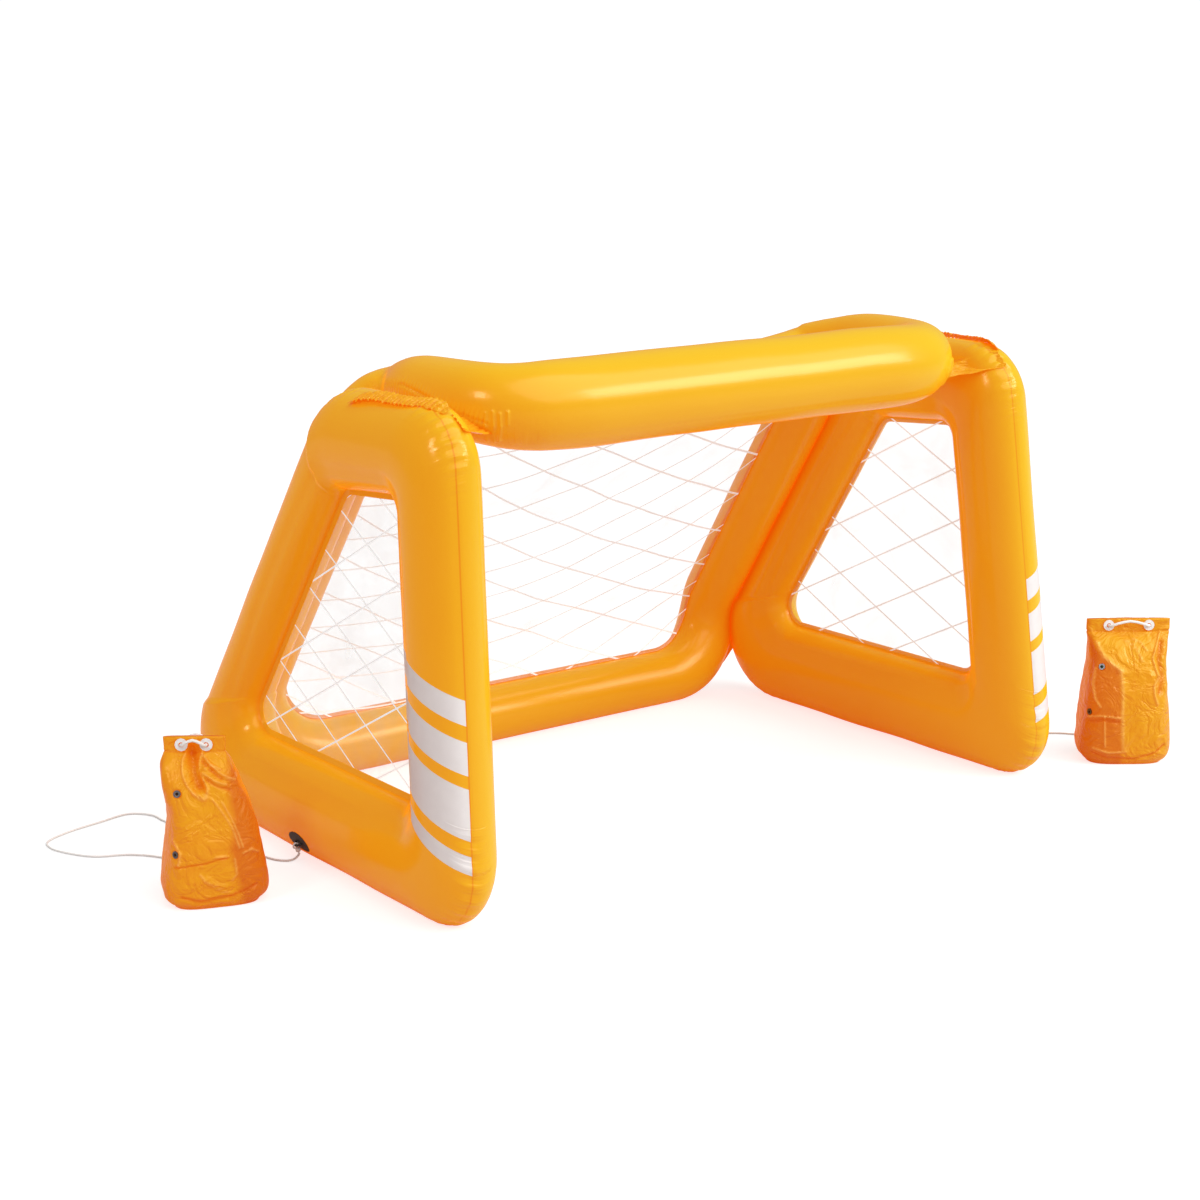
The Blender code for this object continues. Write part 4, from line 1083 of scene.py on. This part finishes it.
side_film_outline = rounded_outline(
    grown_corners(window_corners, [film_overlap] * 4), [window_radius + film_overlap] * 4, 16, 8
)
film_low, film_high = side_film_outline[:, 1].min() + 1e-5, side_film_outline[:, 1].max() - 1e-5
side_lattices = {-1: side_lattice(0.522, 0.610, 0.526, 0.1015), 1: side_lattice(0.572, 0.668, 0.49, 0.1035)}
for side, prefix in ((-1, "left"), (1, "right")):
    film = film_grid(
        prefix + "_film", film_low, film_high, lambda s: reach_in(side_film_outline, s),
        frame_place(side), side_lattices[side], 60, 60, 0.0022,
    )
    film.data.materials.append(film_finish(prefix + "_net_print"))
    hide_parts(prefix + "_net_film")
    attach(film, "goal")

rear_film_radii = [radius + film_overlap for radius in rear_window_radii]
rear_film_outline = rounded_outline(
    grown_corners(rear_window_corners, [film_overlap] * 4), rear_film_radii, 16, 8
)
rear_low, rear_high = rear_film_outline[:, 1].min() + 1e-5, rear_film_outline[:, 1].max() - 1e-5
film = film_grid(
    "rear_film", rear_low, rear_high, lambda s: reach_in(rear_film_outline, s),
    rear_place, rear_lattice, 80, 110, 0.008,
)
film.data.materials.append(film_finish("rear_net_print"))
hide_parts("rear_net_film")
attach(film, "goal")


# Small fittings keep their CAD shape: valves, anchor patches, knots, handles, webs, eyelets and drains.
# White parts are moulded plastic, the patch is black moulded vinyl, and the drains are dark plated rings.
def moulded(name, dark, light, roughness, metallic=0.0):
    material, tree, shader = finish(name, roughness)
    shader.inputs["Metallic"].default_value = metallic
    speck = grain(tree, 350, 3)
    tree.links.new(blended(tree, speck, dark, light), shader.inputs["Base Color"])
    add_bump(tree, shader, speck, 0.0002, 0.4)
    return material


web_vinyl = gathered_vinyl(
    "gathered_vinyl", 0.22, 0.0, (30, 0.0), (90, 0.6, 0.002),
    (0.24, 0.18, 0.008), (0.28, 0.30, 0.010),
)
white_plastic = moulded("white_moulding", (0.78, 0.78, 0.79), (0.86, 0.87, 0.88), 0.32)
black_vinyl = moulded("black_moulding", (0.012, 0.012, 0.013), (0.028, 0.027, 0.027), 0.38)
drain_metal = moulded("plated_ring", (0.10, 0.10, 0.11), (0.24, 0.24, 0.25), 0.32, 0.9)
finishes = {
    "corner_web": web_vinyl,
    "valve_base": web_vinyl,
    "valve": white_plastic,
    "anchor_patch": black_vinyl,
    "knot": rope_material,
    "handle": rope_material,
    "eyelet": white_plastic,
    "drain": drain_metal,
}
for name, cad_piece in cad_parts.items():
    for key, material in finishes.items():
        if key in name:
            cad_piece.data.materials.clear()
            cad_piece.data.materials.append(material)
            break


# Bags: two sheets of creased orange vinyl, welded at the sides and hemmed at the mouth.
# Each stands part filled, square in the body and gathered flat at the top.
bag_width = 0.172
bag_depth = 0.135
bag_height = 0.278
bag_mouth_depth = 0.014
hem_height = 0.023
body_turns = {"left": math.radians(-20), "right": math.radians(-36.8)}
mouth_turn = math.radians(-36.8)
base_centres = {"left": (-0.8786, -0.0150), "right": (0.8775, -0.4230)}
mouth_centres = {"left": (-0.9020, -0.0140), "right": (0.8790, -0.4240)}
mouth_widths = {"left": 0.100, "right": 0.160}
bag_levels = {
    "left": [
        (0.0, 0.80, 0.75), (0.10, 0.98, 0.965), (0.42, 0.84, 1.0), (0.69, 0.72, 0.76), (0.84, 0.66, 0.42),
    ],
    "right": [
        (0.0, 0.83, 0.75), (0.10, 1.0, 0.965), (0.42, 0.93, 1.0), (0.69, 0.85, 0.76), (0.84, 0.88, 0.42),
    ],
}
bag_corner = 0.55
bag_rows = 200
bag_columns = 360
hem_share = 1 - hem_height / bag_height
hem_line_depth = 0.0014
crumple_height = 0.0030
# Painted glow: the bags' vinyl emits this much red-orange light of its own.
painted_bag_glow = 0.54
drain_reach = 0.0075
drain_hole_radius = 0.0032
eyelet_reach = 0.012


def squared(value):
    """A cosine or sine drawn out towards the corners of the bag's body."""
    return math.copysign(abs(value) ** bag_corner, value)


def bag_skin(prefix, height, angle, levels):
    """A point of the bag's skin in the world, and how far across the bag it is."""
    share = min(max(height / bag_height, 0), 1)
    wide = np.interp(share, levels[:, 0], levels[:, 1])
    deep = np.interp(share, levels[:, 0], levels[:, 2])
    rise = min(max((share - 0.45) / (hem_share - 0.45), 0), 1)
    rise = rise * rise * (3 - 2 * rise)
    turn = body_turns[prefix] + (mouth_turn - body_turns[prefix]) * rise
    centre = Vector(base_centres[prefix]).lerp(Vector(mouth_centres[prefix]), rise)
    across_bag = squared(math.cos(angle)) * wide * bag_width / 2
    through = squared(math.sin(angle)) * deep * bag_depth / 2
    point = Vector((
        centre.x + across_bag * math.cos(turn) - through * math.sin(turn),
        centre.y + across_bag * math.sin(turn) + through * math.cos(turn),
        height,
    ))
    return point, across_bag


# Folds on each bag's front: how far they stand out, how wide they are, and their line as (across, up).
# The left bag's mouth is gathered, which leaves a deep pocket under its handle.
bag_folds = {
    "left": [
        (-0.0150, 0.0085, [(-0.004, 0.256), (-0.001, 0.240), (0.001, 0.226), (0.002, 0.208)]),
        (0.0035, 0.0022, [
            (-0.013, 0.254), (-0.017, 0.242), (-0.019, 0.224), (-0.016, 0.207), (-0.011, 0.196),
        ]),
        (0.0045, 0.0026, [(-0.011, 0.196), (-0.003, 0.186), (0.006, 0.190), (0.013, 0.202), (0.012, 0.216)]),
        (0.0035, 0.0022, [(0.012, 0.216), (0.007, 0.230), (0.010, 0.244), (0.014, 0.256)]),
        (0.0040, 0.0020, [(0.014, 0.250), (0.026, 0.238), (0.040, 0.224), (0.056, 0.211)]),
        (-0.0030, 0.0030, [(0.014, 0.243), (0.026, 0.231), (0.040, 0.217)]),
        (0.0035, 0.0018, [(0.013, 0.226), (0.028, 0.214), (0.044, 0.207)]),
        (0.0030, 0.0018, [(0.018, 0.232), (0.030, 0.236), (0.042, 0.230)]),
        (-0.0022, 0.0030, [(0.016, 0.217), (0.030, 0.206), (0.046, 0.199)]),
        (0.0018, 0.0016, [(0.014, 0.186), (0.022, 0.150), (0.034, 0.104)]),
        (0.0016, 0.0016, [(0.026, 0.180), (0.030, 0.140), (0.040, 0.104)]),
        (-0.0022, 0.0016, [
            (-0.068, 0.076), (-0.045, 0.080), (-0.020, 0.082), (0.000, 0.088), (0.014, 0.089),
        ]),
        (0.0035, 0.0018, [(-0.006, 0.091), (0.004, 0.093), (0.014, 0.091)]),
        (0.0022, 0.0016, [(0.026, 0.086), (0.028, 0.060), (0.020, 0.050)]),
        (0.0022, 0.0016, [(-0.030, 0.064), (-0.022, 0.052), (0.000, 0.038), (0.012, 0.030)]),
        (-0.0026, 0.0030, [(-0.060, 0.026), (-0.030, 0.017), (0.020, 0.022), (0.060, 0.036)]),
        (0.0020, 0.0018, [(-0.066, 0.120), (-0.058, 0.100), (-0.062, 0.080)]),
        (0.0020, 0.0016, [(0.040, 0.094), (0.054, 0.098), (0.066, 0.090)]),
    ],
    "right": [
        (0.0022, 0.0040, [(-0.064, 0.236), (-0.052, 0.212), (-0.034, 0.197), (-0.021, 0.188)]),
        (0.0016, 0.0030, [(-0.021, 0.188), (-0.017, 0.150), (-0.017, 0.100), (-0.012, 0.034)]),
        (0.0034, 0.0018, [(-0.076, 0.096), (-0.062, 0.100), (-0.052, 0.101), (-0.022, 0.098)]),
        (-0.0026, 0.0030, [(-0.074, 0.088), (-0.052, 0.093), (-0.024, 0.090)]),
        (0.0022, 0.0016, [(-0.050, 0.100), (-0.049, 0.070), (-0.047, 0.040)]),
        (0.0030, 0.0022, [(0.060, 0.252), (0.050, 0.232), (0.040, 0.210), (0.045, 0.192), (0.052, 0.176)]),
        (0.0030, 0.0022, [(0.052, 0.176), (0.042, 0.158), (0.044, 0.140), (0.050, 0.124)]),
        (-0.0050, 0.0060, [(0.060, 0.236), (0.054, 0.206), (0.062, 0.176), (0.056, 0.146)]),
        (-0.0040, 0.0070, [(-0.076, 0.236), (-0.070, 0.212), (-0.074, 0.190)]),
        (0.0024, 0.0020, [(-0.066, 0.190), (-0.070, 0.160), (-0.066, 0.132), (-0.058, 0.118)]),
        (0.0018, 0.0018, [(-0.010, 0.240), (0.010, 0.226), (0.020, 0.204)]),
        (0.0018, 0.0018, [(0.004, 0.244), (0.020, 0.236), (0.030, 0.222)]),
        (-0.0024, 0.0030, [(-0.070, 0.026), (-0.040, 0.016), (0.010, 0.014), (0.050, 0.026), (0.066, 0.040)]),
        (0.0020, 0.0018, [(-0.068, 0.036), (-0.040, 0.028), (-0.010, 0.030)]),
    ],
}
# Where each bag's front turns away and gets painted shade: the edge of it as (across, up)
bag_shade_edges = {
    "left": [(0.060, 0.255), (0.040, 0.185), (0.026, 0.130), (0.020, 0.100), (0.040, 0.000)],
    "right": [(-0.075, 0.236), (-0.052, 0.212), (-0.021, 0.188), (-0.017, 0.100), (-0.012, 0.000)],
}


def bag_finish(name):
    material, tree, shader = finish(name, 0.30)
    marks = node(tree, "ShaderNodeAttribute", attribute_name="bag_painted_light_and_shade")
    parts = node(tree, "ShaderNodeSeparateXYZ")
    tree.links.new(marks.outputs["Vector"], parts.inputs[0])
    shade, fold, painted_hole_shade = parts.outputs
    cloud = grain(tree, 16, 3, 0.8)
    colour = blended(tree, cloud, (0.26, 0.200, 0.010), (0.30, 0.330, 0.012))
    # Painted shade on the front beyond its shade edge, painted highlights on fold ridges and painted shade in
    # fold valleys and along the hem.
    colour = blended(tree, sums(tree, "MULTIPLY", shade, 0.80), colour, (0.22, 0.090, 0.010))
    colour = blended(tree, sums(tree, "MULTIPLY", fold, 1.0, clamp=True), colour, (0.40, 0.400, 0.10))
    colour = blended(tree, sums(tree, "MULTIPLY", fold, -1.0, clamp=True), colour, (0.14, 0.040, 0.004))
    # Painted shade: near black inside each drain hole.
    colour = blended(tree, painted_hole_shade, colour, (0.012, 0.012, 0.014))
    gloss_and_painted_glow(shader)
    # Painted glow, none in the drain holes and a little less in the painted shade.
    painted_glow_outside_holes = sums(tree, "SUBTRACT", painted_bag_glow, sums(tree, "MULTIPLY", painted_hole_shade, painted_bag_glow))
    tree.links.new(sums(tree, "MULTIPLY_ADD", shade, -0.06, painted_glow_outside_holes), shader.inputs["Emission Strength"])
    tree.links.new(colour, shader.inputs["Base Color"])
    ridges = sums(tree, "ABSOLUTE", sums(tree, "SUBTRACT", grain(tree, 22, 3, 1.4), 0.5))
    add_bump(tree, shader, ridges, 0.020, 0.65)
    return material


for prefix in ("left", "right"):
    mouth = [(hem_share, mouth_widths[prefix] / bag_width, bag_mouth_depth / bag_depth)]
    mouth.append((1.0, *mouth[0][1:]))
    stops = smooth_path(bag_levels[prefix] + mouth, 8)
    levels = stops[np.argsort(stops[:, 0])]
    rings = []
    spots = []
    for height in np.linspace(0, bag_height, bag_rows):
        for angle in np.linspace(0, 2 * math.pi, bag_columns, endpoint=False):
            point, across_bag = bag_skin(prefix, height, angle, levels)
            rings.append(point)
            spots.append((across_bag, height, -math.sin(angle)))
    bag = grid_mesh(prefix + "_bag_skin", np.array(rings).reshape(bag_rows, bag_columns, 3))
    spots = np.array(spots)
    points = mesh_points(bag.data)
    normals = mesh_points(bag.data, "normal")
    front = np.clip(spots[:, 2] * 4, 0, 1)
    rise = np.zeros(len(points))
    painted_fold_light_and_shade = np.zeros(len(points))
    # Each fold also paints its ridge lighter as a painted highlight and its valley darker as painted shade.
    for height, width, line in bag_folds[prefix]:
        bell = np.exp(-((from_line(spots[:, :2], line)[0] / width) ** 2)) * front
        rise += height * bell
        painted_fold_light_and_shade += math.copysign(0.55, height) * bell
    hem = np.abs(spots[:, 1] - (bag_height - hem_height))
    rise -= hem_line_depth * np.exp(-((hem / hem_line_depth) ** 2))
    # Painted shade along the hem's line.
    painted_fold_light_and_shade -= 0.35 * np.exp(-((hem / 0.0012) ** 2))
    body = np.clip((bag_height - hem_height - 0.004 - spots[:, 1]) / 0.02, 0, 1)
    body *= np.clip(spots[:, 1] / 0.01, 0, 1)
    shift = Vector((0, 0, 3.7 if prefix == "left" else 9.1))
    crumple = [0.5 - abs(noise.noise(Vector(point) * 26 + shift)) for point in points]
    rise += np.array(crumple) * crumple_height * body
    edge = np.array(bag_shade_edges[prefix])[::-1]
    limit = np.interp(spots[:, 1], edge[:, 1], edge[:, 0])
    beyond = (spots[:, 0] - limit) if prefix == "left" else (limit - spots[:, 0])
    # Painted shade on the front beyond the shade edge.
    shade = np.clip(0.5 + beyond / 0.012, 0, 1) * front
    # Painted shade inside each drain hole.
    painted_hole_shade = np.zeros(len(points))
    for level in ("upper", "lower"):
        low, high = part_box(prefix + "_bag_drain_" + level)
        away = np.linalg.norm(points - (np.array(low) + np.array(high)) / 2, axis=1)
        rise = np.where(away < drain_reach, -0.0016, rise)
        painted_hole_shade = np.maximum(painted_hole_shade, away < drain_hole_radius)
    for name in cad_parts:
        if name.startswith(prefix + "_bag_") and "eyelet" in name:
            low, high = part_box(name)
            away = np.linalg.norm(points - (np.array(low) + np.array(high)) / 2, axis=1)
            rise = np.where(away < eyelet_reach, np.minimum(rise, -0.0004), rise)
    points += normals * rise[:, None]
    points[:, 2] = np.clip(points[:, 2], 0, bag_height)
    set_points(bag.data, points)
    keep_places(bag, "bag_painted_light_and_shade", np.stack([shade, np.clip(painted_fold_light_and_shade, -1, 1), painted_hole_shade], 1))
    bag.data.materials.append(bag_finish(prefix + "_bag_vinyl"))
    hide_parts(prefix + "_ballast_bag")
    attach(bag, "goal")


# Studio: a flat pale floor without an edge in view, under an even white sky.
# Two soft lamps and one very soft overhead light give the tubes their long highlights.
floor_size = 14
floor_mesh = bpy.data.meshes.new("studio_floor")
floor_corners = [(x * floor_size, y * floor_size, 0) for x, y in ((-1, -1), (1, -1), (1, 1), (-1, 1))]
floor_mesh.from_pydata(floor_corners, [], [(0, 1, 2, 3)])
studio_floor = bpy.data.objects.new("studio_floor", floor_mesh)
bpy.context.scene.collection.objects.link(studio_floor)
floor_material, floor_tree, floor_shader = finish("pale_floor", 0.6)
floor_grain = grain(floor_tree, 2, 2)
floor_path = node(floor_tree, "ShaderNodeLightPath").outputs["Is Camera Ray"]
pale = blended(floor_tree, floor_grain, (0.40, 0.42, 0.43), (0.42, 0.44, 0.45))
floor_colour = blended(floor_tree, floor_path, (0.50, 0.50, 0.50), pale)
floor_tree.links.new(floor_colour, floor_shader.inputs["Base Color"])
floor_shader.inputs["Emission Color"].default_value = (1, 1, 1, 1)
floor_tree.links.new(sums(floor_tree, "MULTIPLY", floor_path, 0.72), floor_shader.inputs["Emission Strength"])
floor_mesh.materials.append(floor_material)

world = bpy.data.worlds.new("studio")
bpy.context.scene.world = world
bpy.context.scene.view_settings.view_transform = "Standard"
world.use_nodes = True
sky = world.node_tree
light_path = node(sky, "ShaderNodeLightPath")
strength = sums(sky, "MULTIPLY_ADD", light_path.outputs["Is Camera Ray"], 0.70, 0.35)
strength = sums(sky, "MULTIPLY_ADD", light_path.outputs["Is Glossy Ray"], -0.13, strength)
sky.links.new(strength, sky.nodes["Background"].inputs["Strength"])
sky_colour = blended(sky, light_path.outputs["Is Camera Ray"], (1.0, 0.95, 0.93), (1, 1, 1))
sky.links.new(sky_colour, sky.nodes["Background"].inputs["Color"])


def soft_lamp(name, place, aim, width, height, power, colour=(1, 1, 1), shine=1.0):
    data = bpy.data.lights.new(name, "AREA")
    data.shape = "RECTANGLE"
    data.size = width
    data.size_y = height
    data.energy = power
    data.color = colour
    data.specular_factor = shine
    lamp = bpy.data.objects.new(name, data)
    bpy.context.scene.collection.objects.link(lamp)
    lamp.location = place
    lamp.rotation_euler = (Vector(aim) - Vector(place)).to_track_quat("-Z", "Y").to_euler()


soft_lamp("key_lamp", (2.6, -3.4, 2.4), (0, 0, 0.5), 2.0, 1.6, 80, (0.97, 1.0, 1.0), 0.45)
soft_lamp("left_lamp", (-3.4, -0.8, 2.6), (0, 0, 0.6), 0.9, 0.7, 30)
overhead_data = bpy.data.lights.new("overhead_light", "SUN")
overhead_data.energy = 2.6
overhead_data.angle = math.radians(70)
overhead = bpy.data.objects.new("overhead_light", overhead_data)
bpy.context.scene.collection.objects.link(overhead)
overhead.rotation_euler = Vector((0.30, -0.85, 1.0)).to_track_quat("Z", "Y").to_euler()
